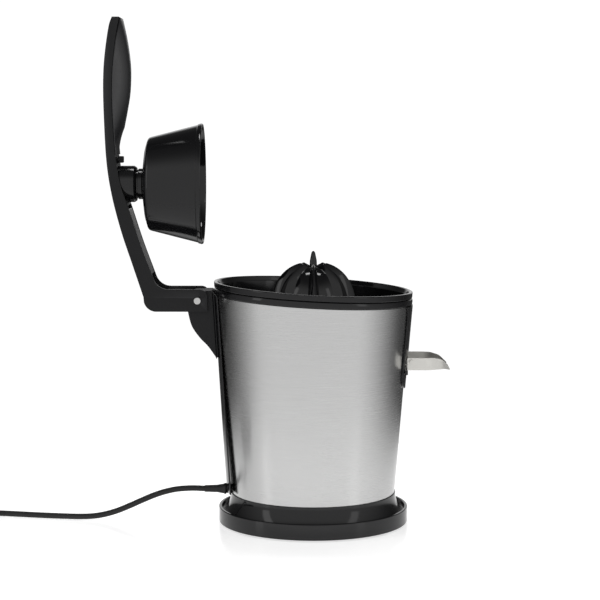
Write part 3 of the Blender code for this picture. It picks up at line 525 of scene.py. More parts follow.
def make_camera():
    """A long lens a little above the rim's height, looking slightly down, square on to the lever's side."""
    data = bpy.data.cameras.new("camera")
    data.lens = 107.3
    data.sensor_width = 36.0
    data.clip_start = 0.05
    data.clip_end = 50.0
    camera = bpy.data.objects.new("camera", data)
    camera.location = (-0.0126, -1.69, 0.385)
    camera.rotation_euler = (math.radians(90.0 - 5.8), 0, 0)
    bpy.context.scene.collection.objects.link(camera)
    bpy.context.scene.camera = camera


# --- mains lead ---

COIL_CENTRE = (halfway(COIL_LOW.x, COIL_HIGH.x), halfway(COIL_LOW.y, COIL_HIGH.y))
COIL_OUTER = 38.0
COIL_INNER = 27.6
COIL_TURN = math.radians(675.0)
LOWER_Z = 2.85
UPPER_Z = 8.4
CORD_ROUTE = [
    (-102.0, 0.0, 31.5), (-104.3, 0.0, 31.5), (-113.0, 0.0, 31.9), (-122.0, 0.0, 31.7), (-132.0, 0.1, 30.7),
    (-143.0, 0.3, 28.2), (-154.0, 0.6, 24.4), (-165.0, 1.0, 19.6), (-176.0, 1.5, 14.6), (-187.0, 2.1, 9.9),
    (-199.0, 2.9, 6.1), (-211.0, 3.9, 3.8), (-224.0, 5.2, 2.95), (-238.0, 7.0, 2.85), (-252.0, 9.2, 2.85),
    (-266.0, 11.9, 2.85), (-280.0, 14.9, 2.85), (-294.0, 18.0, 2.85), (-308.0, 20.9, 2.85),
    (-321.0, 23.0, 2.85), (-333.4, 24.0, 2.85), (-344.5, 24.3, 2.85),
]
CORD_TAIL = [
    (-317.0, -3.0, 8.4), (-317.0, 7.6, 8.5), (-317.0, 16.0, 8.7), (-317.0, 24.0, 8.8), (-317.5, 32.0, 8.0),
    (-319.6, 39.5, 6.8), (-323.6, 46.0, 6.0), (-329.2, 50.6, 5.8), (-335.6, 53.2, 6.4), (-342.7, 54.0, 7.0),
]


def coil_points():
    """Turns wound inwards on the floor, then a second layer wound outwards on top of them."""
    steps = 90
    found = []
    for k in range(1, 2 * steps + 1):
        share = k / steps
        turn = math.pi / 2 + COIL_TURN * share
        r = COIL_OUTER - (COIL_OUTER - COIL_INNER) * (share if share <= 1 else 2 - share)
        climb = min(1.0, max(0.0, (math.degrees(turn) - 735.0) / 90.0))
        z = LOWER_Z + (UPPER_Z - LOWER_Z) * climb**2 * (3 - 2 * climb)
        found.append((COIL_CENTRE[0] + r * math.cos(turn), COIL_CENTRE[1] + r * math.sin(turn), z))
    return found


def make_cord():
    curve = bpy.data.curves.new("mains_cord", "CURVE")
    curve.dimensions = "3D"
    curve.bevel_depth = CORD_R * MM
    curve.bevel_resolution = 6
    curve.use_fill_caps = True
    points = [*smooth(CORD_ROUTE, 4), *coil_points(), *smooth(CORD_TAIL, 4)]
    spline = curve.splines.new("POLY")
    spline.points.add(len(points) - 1)
    for point, (x, y, z) in zip(spline.points, points):
        point.co = (x * MM, y * MM, z * MM, 1)
    cord = bpy.data.objects.new("mains_cord", curve)
    bpy.context.scene.collection.objects.link(cord)
    finished(cord, "housing", "rubber", "cord_lead", "cord_coil", "cord_tail")

    gland = lathe("cord_gland_fine", [
        (0, 28.0), (3.2, 28.0, 0.4), (3.6, 16.0), (4.6, 10.0, 1.0), (5.3, 8.6, 0.5), (5.3, 7.4, 0.4),
        (4.3, 7.2), (4.3, 0.4, 0.3), (0, 0.4),
    ], 48)
    finished(lay(gland, (-76.0, 0, CORD_Z), (0, -90, 0)), "housing", "rubber", "cord_gland")

    tie = make_tie()
    plug, pins = make_plug()


def make_tie():
    """A flat strap round the bundle of turns."""
    low, high = box("cord_tie")
    wall, floor = 1.1, 0.25

    def loop(side, below, above, low_r, high_r):
        return [(low.y + side, low.z + below, low_r), (high.y - side, low.z + below, low_r),
                (high.y - side, high.z - above, high_r), (low.y + side, high.z - above, high_r)]

    strap = prism("cord_tie_fine", loop(0, 0, 0, 2.0, 3.0), low.x + 0.4, high.x - 0.4, "YZ")
    cut(strap, prism("tie_inside", loop(wall, floor, wall, 1.4, 2.2), low.x - 2, high.x + 2, "YZ"))
    return finished(soften(strap, 0.35, 2), "housing", "rubber", "cord_tie")


def make_plug():
    low, high = box("plug")
    body_x, end_x = high.x - 21.3, low.x
    y, z = halfway(low.y, high.y), halfway(low.z, high.z)
    half_width, half_height = (high.y - low.y) / 2, (high.z - low.z) / 2
    shoulders = [(body_x - 9.0, half_width - 1.0, 8.0), (body_x - 14.0, half_width, 6.0),
                 (end_x, half_width, 1.5)]
    outline = [(body_x, y - 7.0, 2.0), (body_x, y + 7.0, 2.0)]
    outline += [(x, y + side, r) for x, side, r in shoulders]
    outline += [(x, y - side, r) for x, side, r in reversed(shoulders)]
    body = prism("plug_body", outline, z - half_height, z + half_height, "XY")
    finished(soften(body, 2.4, 4, 50.0), "housing", "rubber", "plug")

    ribs = []
    length, count = 21.0, 6
    pitch = length / count
    for k in range(count):
        r = 5.4 - 1.9 * k / count
        ribs += [(r, pitch * k), (r, pitch * (k + 0.62), 0.4), (r - 0.9, pitch * (k + 0.72))]
    boot = lathe("plug_boot", [(0, 0), *ribs, (3.4, length), (0, length)], 40)
    finished(lay(boot, (body_x - 0.8, y, z), (0, 90, 0)), "housing", "rubber")
    boot.parent = body
    boot.matrix_parent_inverse = body.matrix_world.inverted()

    pins = []
    for number in (1, 2):
        node = f"plug_pin_{number}"
        low, high = box(node)
        r, length = (high.y - low.y) / 2, high.x - low.x
        pin = lathe(f"{node}_fine", [(0, 0), (r, 0), (r, length, 1.1), (0, length)], 32)
        lay(pin, (high.x, halfway(low.y, high.y), halfway(low.z, high.z)), (0, -90, 0))
        pins.append(finished(pin, "housing", "plug_brass", node))
    return body, [*pins, boot]


# --- base ---


def make_tray():
    foot = TRAY_LOW.z - 1.6
    ring_inner = box("base_cover")[1].x + 0.7
    flare_r, flare_z = STEEL_FOOT_R + 0.9, TRAY_HIGH.z
    sweep = 30.3
    flare = arc((flare_r + sweep, flare_z), sweep, 215.8, 180.0, 16)
    inside = [(r - 2.4, z - 0.8) for r, z in reversed(flare[:-1:4])]
    tray = lathe("base_tray_fine", [
        (BASE_R, foot, 1.0), (BASE_R, BASE_FACE_TOP, 0.7), (BASE_R - 2.6, BASE_FACE_TOP, 0.6),
        (BASE_R - 3.6, BASE_VALLEY_Z - 0.6, 0.5), *flare, (flare_r - 2.6, flare_z), *inside,
        (ring_inner, BASE_VALLEY_Z - 2.4), (ring_inner, foot),
    ], 256)
    finished(cut(tray, cord_way("gland_notch", -70)), "housing", "gloss_black", "base_tray")


def make_cover():
    low, high = box("base_cover")
    r, screw_at, vent_near, vent_far, vent_half, above = high.x, 49, 36, 52, 1.2, 9
    grooves = []
    for middle in (58.0, 30.0):
        grooves += [(middle + 1.2, low.z), (middle + 0.8, low.z + 0.5), (middle - 0.8, low.z + 0.5),
                    (middle - 1.2, low.z)]
    outline = [(0, high.z), (r, high.z, 0.4), (r, low.z, 0.6), *grooves, (0, low.z)]
    cover = lathe("base_cover_fine", outline, 160)
    tools = []
    for x in (-screw_at, screw_at):
        for y in (-screw_at, screw_at):
            tools.append(rod(f"screw_way_{x}_{y}", (x, y, 0), (x, y, above), 1.9, 24))
            tools.append(rod(f"screw_sink_{x}_{y}", (x, y, 0), (x, y, low.z + 1.6), 3.4, 32))
    for y in (-12.0, -6.0, 0.0, 6.0, 12.0):
        for near, far in ((vent_near, vent_far), (-vent_far, -vent_near)):
            tools.append(block(f"vent_{near}_{y}", (near, y - vent_half, 0), (far, y + vent_half, above)))
    finished(cut(cover, *tools), "housing", "satin_black", "base_cover")


def make_foot(number):
    node = f"rubber_foot_{number}"
    low, high = box(node)
    middle = (halfway(low.x, high.x), halfway(low.y, high.y))
    r = (high.x - low.x) / 2
    foot = lathe(f"{node}_fine", [
        (0, high.z), (r, high.z), (r, 0.0, 0.9), (4.6, 0.0, 0.3), (4.2, 0.5, 0.3), (0, 0.5),
    ], 64, middle)
    finished(foot, "housing", "rubber", node)


def make_screw(number):
    """A countersunk screw with a cross in its head, seen from below."""
    node = f"base_screw_{number}"
    low, high = box(node)
    middle = (halfway(low.x, high.x), halfway(low.y, high.y))
    head, shank, under_head = (high.x - low.x) / 2, 1.5, low.z + 1.1
    screw = lathe(f"{node}_fine", [
        (0, high.z), (shank, high.z - 0.8), (shank, under_head), (head, under_head, 0.2), (head, low.z, 0.4),
        (0, low.z),
    ], 40, middle)
    arms = []
    for turn in (0.0, math.pi / 2):
        arm = block(f"cross_{turn:.0f}", (-1.9, -0.35, 0), (1.9, 0.35, low.z + 0.8))
        arm.location = (middle[0] * MM, middle[1] * MM, 0)
        arm.rotation_euler = (0, 0, turn + 0.4)
        arms.append(arm)
    finished(cut(screw, *arms), "housing", "zinc_plate", node)


# --- body ---


def make_shell():
    foot, top = STEEL_FOOT, STEEL_TOP
    rows = 48
    levels = [foot + (top - foot) * k / rows for k in range(rows + 1)]
    outside = [(steel_r(z), z) for z in levels]
    inside = [(steel_r(top) - STEEL_T, top), (steel_r(foot) - STEEL_T, foot)]
    shell = lathe("steel_shell_fine", [*outside, *inside], 256, warp=lambda p: slanted(p, foot + 40, top))
    window = block("window", (60, -26.6, 144), (110, 26.6, 173))
    finished(cut(shell, window, cord_way("gland_way")), "housing", "brushed_steel", "steel_shell")


def strip(name, side, levels, widths, outer, thickness, hole=None):
    """A solid curved strip that hugs the tapered body: rows at heights, columns across Y."""
    shape = bmesh.new()
    columns, edge_columns = 16, 2
    rows = []
    for z in levels:
        half = widths(z)
        edge = min(half - 1.2, hole[0]) if hole else half - 2.4
        across = [-half + (half - edge) * k / edge_columns for k in range(edge_columns)]
        across += [-edge + 2 * edge * k / columns for k in range(columns + 1)]
        across += [edge + (half - edge) * (k + 1) / edge_columns for k in range(edge_columns)]
        points = (Vector((side * math.sqrt(outer(z) ** 2 - y * y), y, z)) for y in across)
        rows.append([shape.verts.new(slanted(point, levels[0], levels[-1])) for point in points])
    for lower, upper, z0, z1 in zip(rows, rows[1:], levels, levels[1:]):
        in_hole = hole and z0 >= hole[1] - 0.01 and z1 <= hole[2] + 0.01
        for k in range(len(lower) - 1):
            if not (in_hole and edge_columns <= k < edge_columns + columns):
                shape.faces.new((lower[k], lower[k + 1], upper[k + 1], upper[k]))
    obj = to_object(name, shape)
    if obj.data.polygons[0].normal.x * side < 0:
        obj.data.flip_normals()
    thicken(obj, thickness, even=True)
    return soften(obj, min(0.7, thickness * 0.4), 3, 60.0)


def make_spine():
    foot, top = SPINE_LOW.z, STEEL_TOP - 0.1
    levels = [foot + (top - foot) * k / 40 for k in range(41)]
    thickness = SPINE_FOOT_R - STEEL_FOOT_R - GAP - (STEEL_TAPER - SPINE_TAPER) * 190
    spine = settle(strip("rear_spine_fine", -1, levels, lambda z: SPINE_HIGH.y, spine_r, thickness))
    finished(cut(spine, cord_way("spine_gland_way")), "housing", "gloss_black", "rear_spine")


def make_panel():
    """The gloss panel behind the spout: round below, flared at the top, with a window for the spout."""
    corner, wide, flare_h = 15.0, 29.0, 14.0
    foot, top = box("front_panel")[0].z, STEEL_TOP - 0.1
    flare_z = top - flare_h
    window_low, window_high = SPOUT_LOW.z - 1.8, SPOUT_LOW.z + 13.4

    def half_width(z):
        rise = min(corner, z - foot)
        narrow = corner - math.sqrt(max(0.0, corner**2 - (corner - rise) ** 2))
        return wide - narrow + 4.0 * max(0.0, (z - flare_z) / flare_h) ** 2.2

    curve_rows = [foot + corner * (1 - math.cos(math.pi / 2 * k / 10)) for k in range(11)]
    levels = [z for z in curve_rows if z < window_low - 0.4]
    levels += [window_low + (window_high - window_low) * k / 8 for k in range(9)]
    levels += [window_high + (flare_z - window_high) * k / 6 for k in range(1, 7)]
    levels += [flare_z + flare_h * k / 8 for k in range(1, 9)]
    window = (SPOUT_HIGH.y - 0.6, window_low, window_high)
    panel = strip("front_panel_fine", 1, levels, half_width, lambda z: steel_r(z) + 1.9, 1.55, window)
    sill = block("panel_sill", (86.5, -24.5, window_low - 0.6), (88.9, 24.5, 148.9))
    finished(join(panel, sill), "housing", "gloss_black", "front_panel")


def make_collar():
    inner = steel_r(LEDGE_Z) - STEEL_T + 0.5
    top = RIM_Z - RIM_T - GAP
    collar = lathe("collar_ring_fine", [
        (RIM_R - 0.5, top, 1.1), (RIM_R, top - 2.6, 2.0), (RIM_R - 0.4, top - RIM_T, 0.8),
        (inner, top - RIM_T), (inner, top),
    ], 256, warp=lambda p: slanted(p, 0, 1))
    finished(collar, "housing", "gloss_black", "collar_ring")


def make_bowl():
    """The bowl hangs from a slanted flange, has a chimney for the spindle, and drains through a duct."""
    thin, bore, chimney_r, chimney_z = 1.3, 7.9, 10.5, 196.0
    floor = BOWL_FLOOR_Z
    lip_r = RIM_R - 3.0

    def wall(z):
        return steel_r(z) - STEEL_T - 0.5

    straight, low_wall = wall(LEDGE_Z), wall(floor)
    bowl = lathe("juice_bowl_fine", [
        (straight, RIM_Z - RIM_T + 0.05), (straight, LEDGE_Z, 1.0), (low_wall, floor, 2.0),
        (low_wall - 2.2, floor - 2.2, 1.0), (bore, floor - 2.2), (bore, chimney_z, 0.4),
        (chimney_r, chimney_z, 0.8), (chimney_r, floor, 2.0), (low_wall - 3.5, floor, 3.0),
        (low_wall - thin, floor + 3.2, 2.0),
        (wall(198) - thin, 198, 1.0), (81.5, LEDGE_Z - 1.2, 0.4), (81.5, LEDGE_Z, 0.4),
        (straight - thin, LEDGE_Z, 0.3), (straight - thin, RIM_Z - 4.6, 0.6), (lip_r - 1.6, RIM_Z - 4.0, 0.6),
        (lip_r - 0.4, RIM_Z - 0.5, 0.8), (lip_r + 0.6, RIM_Z, 0.4), (RIM_R, RIM_Z, 2.2),
        (RIM_R - 0.3, RIM_Z - RIM_T, 1.2),
    ], 256, warp=lambda p: slanted(p, LEDGE_Z, RIM_Z - RIM_T))
    join(bowl, block("drain_duct", (58, -18, floor - 17.5), (88.0, 18, floor - 0.6)))
    way = block("drain_way", (60, -15.8, floor - 15.5), (96, 15.8, floor + 0.8))
    outline = [(-3.4, 206.0, 1.5), (3.4, 206.0, 1.5), (3.8, 240.0), (-3.8, 240.0)]
    groove = prism("key_groove", outline, 86.15, 89.5)
    finished(cut(bowl, way, groove), "housing", "gloss_black", "juice_bowl")


# --- hinge and press lever ---

LEVER_HALF = ARM_HIGH.y
FORK_HALF = 16.5
LEVER_BACK = [(-186.6, 478.6), (-189.8, 468.9), (-193.6, 443.7), (-195.2, 420.4), (-195.0, 389.8),
              (-193.0, 345.5), (-188.2, 313.0), (-179.8, 279.7), (-170.0, 249.6), (-159.6, 218.0)]
LEVER_FRONT = [(-146.6, 229.6), (-151.6, 239.0), (-162.3, 268.3), (-172.6, 300.4), (-180.2, 323.4),
               (-184.5, 347.4), (-186.4, 371.2), (-187.6, 397.1), (-187.2, 426.4), (-184.2, 455.0),
               (-180.2, 478.6)]
HULL_CREST = [(-178.2, 477.4), (-174.2, 458.9), (-171.6, 440.6), (-170.9, 426.1), (-171.9, 407.8),
              (-175.0, 389.7), (-178.6, 371.5), (-181.4, 349.7)]


def edge_at(points, z):
    """X of an edge at height z, read between its points."""
    ordered = sorted(points, key=lambda p: p[1])
    for (x0, z0), (x1, z1) in zip(ordered, ordered[1:]):
        if z <= z1:
            share = max(0.0, (z - z0) / (z1 - z0))
            return x0 + (x1 - x0) * share
    return ordered[-1][0]


def pin_way(reach):
    return rod("pin_way", (PIN_X, -reach, PIN_Z), (PIN_X, reach, PIN_Z), PIN_R + GAP)


def make_bracket():
    """A deep bracket with a round crown, and the curved flange that holds it to the spine."""
    low, high = box("hinge_bracket")
    crown = arc((PIN_X, 213.6), 10, 90, 160, 10)
    gusset = [(-118.6, 207.0), (-117.2, 199.0), (-114.0, 189.0), (-107.0, 179.0), (-99.4, 171.0),
              (-92.6, 161.5)]
    outline = [(-spine_r(222) - GAP, 223.6), *crown, *smooth(gusset, 6), (-spine_r(158) - GAP, 158.5)]
    bracket = cut(prism("hinge_bracket_fine", outline, low.y, high.y), pin_way(30))
    finished(soften(bracket, 0.9, 3), "housing", "matt_black", "hinge_bracket")

    foot, top, rows, columns = 160.5, 221.5, 24, 12
    shape = bmesh.new()
    grid = []
    for k in range(rows + 1):
        z = foot + (top - foot) * k / rows
        half = 19.2 - 2.4 * (1 - k / rows)
        r = spine_r(z) + 1.25
        across = (-half + 2 * half * j / columns for j in range(columns + 1))
        grid.append([shape.verts.new((-math.sqrt(r * r - y * y), y, z)) for y in across])
    join_rows(shape, grid, closed=False)
    flange = to_object("bracket_flange", shape)
    if flange.data.polygons[0].normal.x > 0:
        flange.data.flip_normals()
    finished(soften(thicken(flange, 1.2), 0.35, 2, 60.0), "housing", "matt_black")


def make_pin():
    length, groove_r = PIN_HIGH.y - PIN_LOW.y, PIN_R - 0.5
    pin = lathe("hinge_pin_fine", [
        (0, 0), (groove_r, 0.0, 0.3), (PIN_R, 0.5, 0.3), (PIN_R, length - 2.0), (groove_r, length - 1.8),
        (groove_r, length - 1.0), (PIN_R, length - 0.8), (PIN_R, length, 0.5), (0, length),
    ], 48)
    finished(lay(pin, (PIN_X, PIN_LOW.y, PIN_Z), (-90, 0, 0)), "housing", "pin_steel", "hinge_pin")

    low, high = box("pin_clip")
    clip = prism("pin_clip_fine", circle((PIN_X, PIN_Z), (high.x - low.x) / 2), low.y + 0.1, high.y - 0.1)
    cut(clip, rod("clip_bore", (PIN_X, 0, PIN_Z), (PIN_X, 40, PIN_Z), PIN_R + 0.15))
    finished(soften(clip, 0.2, 2), "housing", "zinc_plate", "pin_clip")


def make_lever():
    end_x, low, high = ARM_HIGH.x, ARM_LOW.z, 225.2
    corner, bend, wall = 7.0, 15.0, 3.0
    heel = arc((-147.6, 216.2), 12, 195, 267, 9)
    nose = arc((end_x - corner, high - corner), corner, 0, 90, 10)
    crook = arc((-136.1, high + bend), bend, 270, 200, 10)
    outline = [*smooth(LEVER_BACK, 6), *heel, (end_x, low), *nose, *crook, *smooth(LEVER_FRONT[1:], 6)]
    arm = prism("lever_arm_fine", outline, -LEVER_HALF, LEVER_HALF)
    fork = block("fork_way", (-139.0, -FORK_HALF, 190), (-90, FORK_HALF, 240))
    pocket = [(x + wall, z) for x, z in LEVER_BACK[6:]]
    pocket += [(-152.0, 210.0), (-146.0, 207.5), (-120.0, 207.5), (-120.0, 236.0), (-139.0, 236.0)]
    pocket += [(x + wall, z) for x, z in LEVER_FRONT[1:4]]
    cut(arm, fork, prism("lever_hollow", pocket, -FORK_HALF, FORK_HALF), pin_way(40))
    finished(soften(arm, 0.9, 3, 42.0), "press_lever", "matt_black", "lever_arm")

    faces = smooth(LEVER_FRONT[1:4], 8)
    outline = [(x - 0.2, z) for x, z in faces] + [(x - 2.4, z) for x, z in reversed(faces)]
    cover = prism("lever_inner_cover_fine", outline, -FORK_HALF + GAP, FORK_HALF - GAP)
    finished(soften(cover, 0.5, 2), "press_lever", "gloss_black", "lever_inner_cover", look="satin_black")


def make_grip():
    """The grip's convex underside: flat where it meets the lever and full at the middle."""
    low, high = box("grip_hull")
    stations, halves = 90, 20
    crest_line = smooth(list(reversed(HULL_CREST)), 8)
    back_line = smooth(list(reversed(LEVER_FRONT)), 8)
    shape = bmesh.new()
    rings = []
    for k in range(stations + 1):
        share = k / stations
        z = low.z + (high.z - low.z) * share
        back = edge_at(back_line, z) + GAP
        brow = back + 0.9
        taper = math.sqrt(max(0.0, 1 - max(0.0, (share - 0.8) / 0.2) ** 2 * 0.55))
        close = min(1.0, share / 0.2) ** 0.7 * min(1.0, (1 - share) / 0.02 + 0.3) ** 0.5
        crest = back + max(edge_at(crest_line, z) - back, 1.2) * close
        half = (LEVER_HALF - 0.6) * taper
        ring = []
        for j in range(-halves, halves + 1):
            t = math.sin(math.pi / 2 * j / halves)
            ring.append((brow + (crest - brow) * (1 - abs(t) ** 2.6), half * t, z))
        ring += [(back, half - 0.3, z), (back, -half + 0.3, z)]
        rings.append([shape.verts.new(point) for point in ring])
    join_rows(shape, rings)
    shape.faces.new(rings[0])
    shape.faces.new(reversed(rings[-1]))
    grip = to_object("grip_hull_fine", shape, 50.0)
    finished(grip, "press_lever", "gloss_black", "grip_hull", look="grip_black")


def make_boss():
    low, high = box("bell_boss")
    r, length = (high.z - low.z) / 2, high.x - low.x + 6.0
    outline = [(0, 0), (r, 0), (r, length - 2.2, 0.6), (r - 1.4, length, 0.6), (0, length)]
    boss = lathe("bell_boss_fine", outline, 96)
    lay(boss, (high.x - length, 0, BELL_Z), (0, 90, 0))
    front = [(x + GAP, z) for x, z in smooth(LEVER_FRONT[2:7], 8)]
    cut(boss, prism("behind_lever", [(-240, 270), *front, (-240, 380)], -40, 40))
    finished(boss, "press_lever", "satin_black", "bell_boss", look="gloss_black")


def make_neck():
    low, high = box("bell_neck")
    r, length = (high.z - low.z) / 2, high.x - low.x
    neck = lathe("bell_neck_fine", [
        (0, 0), (r - 1.0, 0), (r - 1.0, 1.2), (r, 1.4, 0.3), (r, length, 0.5), (0, length),
    ], 96)
    lay(neck, (low.x, 0, BELL_Z), (0, 90, 0))
    finished(neck, "press_lever", "satin_black", "bell_neck", look="gloss_black")


def make_bell():
    """A shallow cup with a domed back, open towards +X, and the tab above its neck."""
    crown, thin, back_r = 4.3, 2.0, 43.6
    lip = BELL_LOW.x - BELL_HIGH.x + crown
    mouth = (BELL_HIGH.z - BELL_LOW.z) / 2
    bell = lathe("bell_cup_fine", [
        (0, crown), (20, crown * 0.86, 30.0), (34, crown * 0.42, 20.0), (back_r, -1.0, 4.2),
        (mouth - 1.5, lip + 4.6, 0.8), (mouth - 0.8, lip + 4.2, 0.4), (mouth, lip + 1.2, 1.2),
        (mouth - 0.6, lip, 0.5), (mouth - thin - 0.4, lip, 0.6), (mouth - thin - 1.8, lip + 3.4, 0.8),
        (back_r - thin - 0.4, -4.0, 5.0), (34, crown * 0.42 - thin - 0.8, 12.0), (0, crown - thin),
    ])
    lay(bell, (BELL_LOW.x + crown, 0, BELL_Z), (0, -90, 0))
    finished(bell, "press_lever", "gloss_black", "bell_cup")
    tab = block("bell_release_tab_fine", *box("bell_release_tab"))
    finished(soften(tab, 0.8, 3), "press_lever", "matt_black", "bell_release_tab")


# --- strainer and cones ---

STRAINER_FLOOR = STRAINER_TOP.z - 27.0
STRAINER_UNDER = STRAINER_FLOOR - 1.6
JUICE_SLOTS = 16


def make_strainer():
    rim, r, floor, under = STRAINER_TOP.z, STRAINER_TOP.x, STRAINER_FLOOR, STRAINER_UNDER
    sleeve = box("hub_ring")[0].z + 15.0
    strainer = lathe("strainer_fine", [
        (r, rim, 0.4), (r, rim - 1.2, 0.4), (79.0, rim - 1.2, 0.8), (77.6, rim - 3.0, 1.0),
        (57.8, under + 4.8, 12.0), (46.0, under, 10.0), (14.5, under), (14.5, sleeve, 0.3),
        (17.3, sleeve, 0.3), (17.3, floor, 1.5),
        (46.0, floor, 8.0), (56.2, floor + 4.2, 9.0), (76.0, rim - 2.6, 2.0), (78.2, rim, 0.6),
    ], 224)
    slots = []
    for k in range(JUICE_SLOTS):
        slot = prism(f"juice_slot_{k}", plate((36, -1.4), (50, 1.4), 1.38), under - 2, floor + 5, "XY")
        slot.rotation_euler = (0, 0, 2 * math.pi * (k + 0.5) / JUICE_SLOTS)
        slots.append(slot)
    finished(cut(strainer, *slots), "strainer", "gloss_black", "strainer")


def make_pulp_ring():
    """A band close under the strainer's wall, with a tab and a peg at the spout side."""
    high, r, lip = box("pulp_ring")[1], STRAINER_TOP.x, STRAINER_TOP.z - 3.5
    foot_r, foot_z, top_r, top_z = 56.6, STRAINER_UNDER + 3.6, 77.6, STRAINER_TOP.z - 3.0
    low_r, high_r, peg_r = 66.4, 77.2, 2.2

    def wall_z(at):
        return foot_z + (at - foot_r) * (top_z - foot_z) / (top_r - foot_r)

    pulp = lathe("pulp_ring_fine", [
        (r - 0.1, lip, 0.4), (r - 0.1, lip - 1.2, 0.4), (77.9, lip - 1.2, 0.6),
        (low_r + 1.0, wall_z(low_r) - 2.0, 0.5), (low_r, wall_z(low_r) - 0.7, 0.3),
        (high_r, wall_z(high_r) - 0.7, 0.5), (78.2, lip, 0.4),
    ], 224)
    tab = prism("pulp_tab", mirrored([(r - 2.0, -3.2), (high.x, -3.2, 1.8)]), lip - 1.2, lip, "XY")
    peg = lathe("pulp_peg", [(0, lip - 0.6), (peg_r, lip - 0.6), (peg_r, high.z, 1.5), (0, high.z)], 40,
                (high.x - 2.3, 0.0))
    finished(join(pulp, tab, peg), "pulp_ring", "gloss_black", "pulp_ring")


def make_hub():
    low, high = box("hub_ring")
    foot, top, r, bore = low.z, high.z, high.x, 6.2
    hub = lathe("hub_ring_fine", [
        (bore, top - 1.8, 0.4), (12.0, top - 1.8, 0.3), (13.2, top, 0.5), (r - 2.6, top, 0.5),
        (r, top - 2.6, 0.7), (r, foot, 0.6), (r - 3.4, foot), (r - 3.4, top - 5.0), (bore, top - 5.0),
    ], 128)
    notches = []
    for k in range(4):
        notch = prism(f"drive_notch_{k}", plate((-5.5, top - 8.0), (5.5, top - 3.6), 1.2), r - 1.0, r + 3)
        notch.rotation_euler = (0, 0, math.pi / 2 * k + math.radians(100))
        notches.append(notch)
    finished(cut(hub, *notches), "cone_drive", "gloss_black", "hub_ring")


RIDGES = 8
SIDE_SHARES = (0.0, 0.1, 0.35, 0.6, 0.85, 1.0)
VALLEY_SHARES = (0.12, 0.3, 0.5, 0.7, 0.88)
RIDGE_HEIGHT = 0.97


def oval(r, h, power, stop_r, steps):
    """Points (radius, height) up a dome from its foot to where its radius has fallen to stop_r."""
    last = math.acos((stop_r / r) ** (power / 2))
    turns = (last * k / steps for k in range(steps + 1))
    return [(r * math.cos(t) ** (2 / power), h * math.sin(t) ** (2 / power)) for t in turns]


def round_hollow(r, foot, h, steps):
    """Points (radius, height) up a round hollow, the last one on the axis."""
    turns = (math.pi / 2 * k / steps for k in range(steps))
    return [*[(r * math.cos(t), foot + h * math.sin(t)) for t in turns], (0, foot + h)]


def ridged_rows(shape, foot, crest, valley, half_foot, half_top):
    """Rows of vertices up a dome with ridges. Crest and valley are matching lines of (radius, height)."""
    sector = 2 * math.pi / RIDGES
    rows = []
    for k, ((cr, cz), (vr, vz)) in enumerate(zip(crest, valley)):
        half = (half_foot + (half_top - half_foot) * k / (len(crest) - 1)) / max(vr, 0.1)
        half = min(half, sector / 2 * 0.92)
        right = [(half * s, min(RIDGE_HEIGHT, 1 - s)) for s in SIDE_SHARES]
        gap = [(half + (sector - 2 * half) * s, 0.0) for s in VALLEY_SHARES]
        left = [(sector - turn, height) for turn, height in reversed(right[1:])]
        row = []
        for ridge in range(RIDGES):
            for turn, height in [*right, *gap, *left]:
                t = turn + ridge * sector
                r, z = vr + (cr - vr) * height, vz + (cz - vz) * height
                row.append(shape.verts.new((r * math.cos(t), r * math.sin(t), foot + z)))
        rows.append(row)
    return rows


def make_cone(name, foot, ring, crest, valley, hollow, half_foot, half_top, cap_z):
    """A ridged dome on a ring, hollow below. All its lines are points (radius, height) above its foot."""
    shape = bmesh.new()
    dome = ridged_rows(shape, foot, crest, valley, half_foot, half_top)
    join_rows(shape, [*dome, [shape.verts.new((0, 0, foot + cap_z))]])
    around = [math.atan2(vertex.co.y, vertex.co.x) for vertex in dome[0]]
    below = [dome[0]]
    for r, z in [*ring, *hollow]:
        turns = around if r > 0 else [0.0]
        below.append([shape.verts.new((r * math.cos(t), r * math.sin(t), foot + z)) for t in turns])
    join_rows(shape, below)
    return to_object(name, shape, 30.0)


def make_small_cone():
    """The small cone with its two ears, and the socket that the spindle drives."""
    low, high = box("small_cone")
    foot, tip_x = low.z, high.x
    ring_r, ring_h, dome_r, dome_h, hollow_r = 39.5, 8.0, 30.2, 41.0, 25.0
    crest = [(r, ring_h + z) for r, z in oval(dome_r, dome_h, 2.2, 2.6, 40)]
    valley = [(r, ring_h + z) for r, z in oval(dome_r - 3.4, dome_h - 1.4, 2.1, 1.6, 40)]
    ring = rounded([
        (dome_r + 0.6, ring_h), (ring_r - 0.2, ring_h, 2.4), (ring_r, 0.4, 0.6), (ring_r - 1.2, 0.0, 0.3),
        (hollow_r, 0.0),
    ], False)
    hollow = round_hollow(hollow_r, ring_h, 31.0, 12)
    cone = make_cone("small_cone_fine", foot, ring, crest, valley, hollow, 4.2, 1.3, ring_h + dome_h - 2.2)
    ear = rounded([
        (ring_r - 6, foot + 0.9), (ring_r + 4, foot + 1.0, 8.0), (tip_x - 4, foot + 3.6, 6.0),
        (tip_x, foot + 6.2, 0.6), (tip_x - 1.2, foot + 7.2, 0.6), (ring_r - 6, foot + 7.2),
    ])
    right = prism("ear_right", ear, -6, 6)
    left = prism("ear_left", [(-x, z) for x, z in reversed(ear)], -6, 6)
    for part in (right, left):
        settle(soften(part, 0.7, 3))
    socket_low = STRAINER_TOP.z + 1.2
    socket = rod("socket", (0, 0, socket_low), (0, 0, foot + ring_h + 34), 9.0)
    hole = rod("socket_way", (0, 0, socket_low - 4), (0, 0, SPINDLE_HIGH.z + 1.5), 5.5)
    finished(cut(join(cone, right, left, socket), hole), "small_cone", "gloss_black", "small_cone")


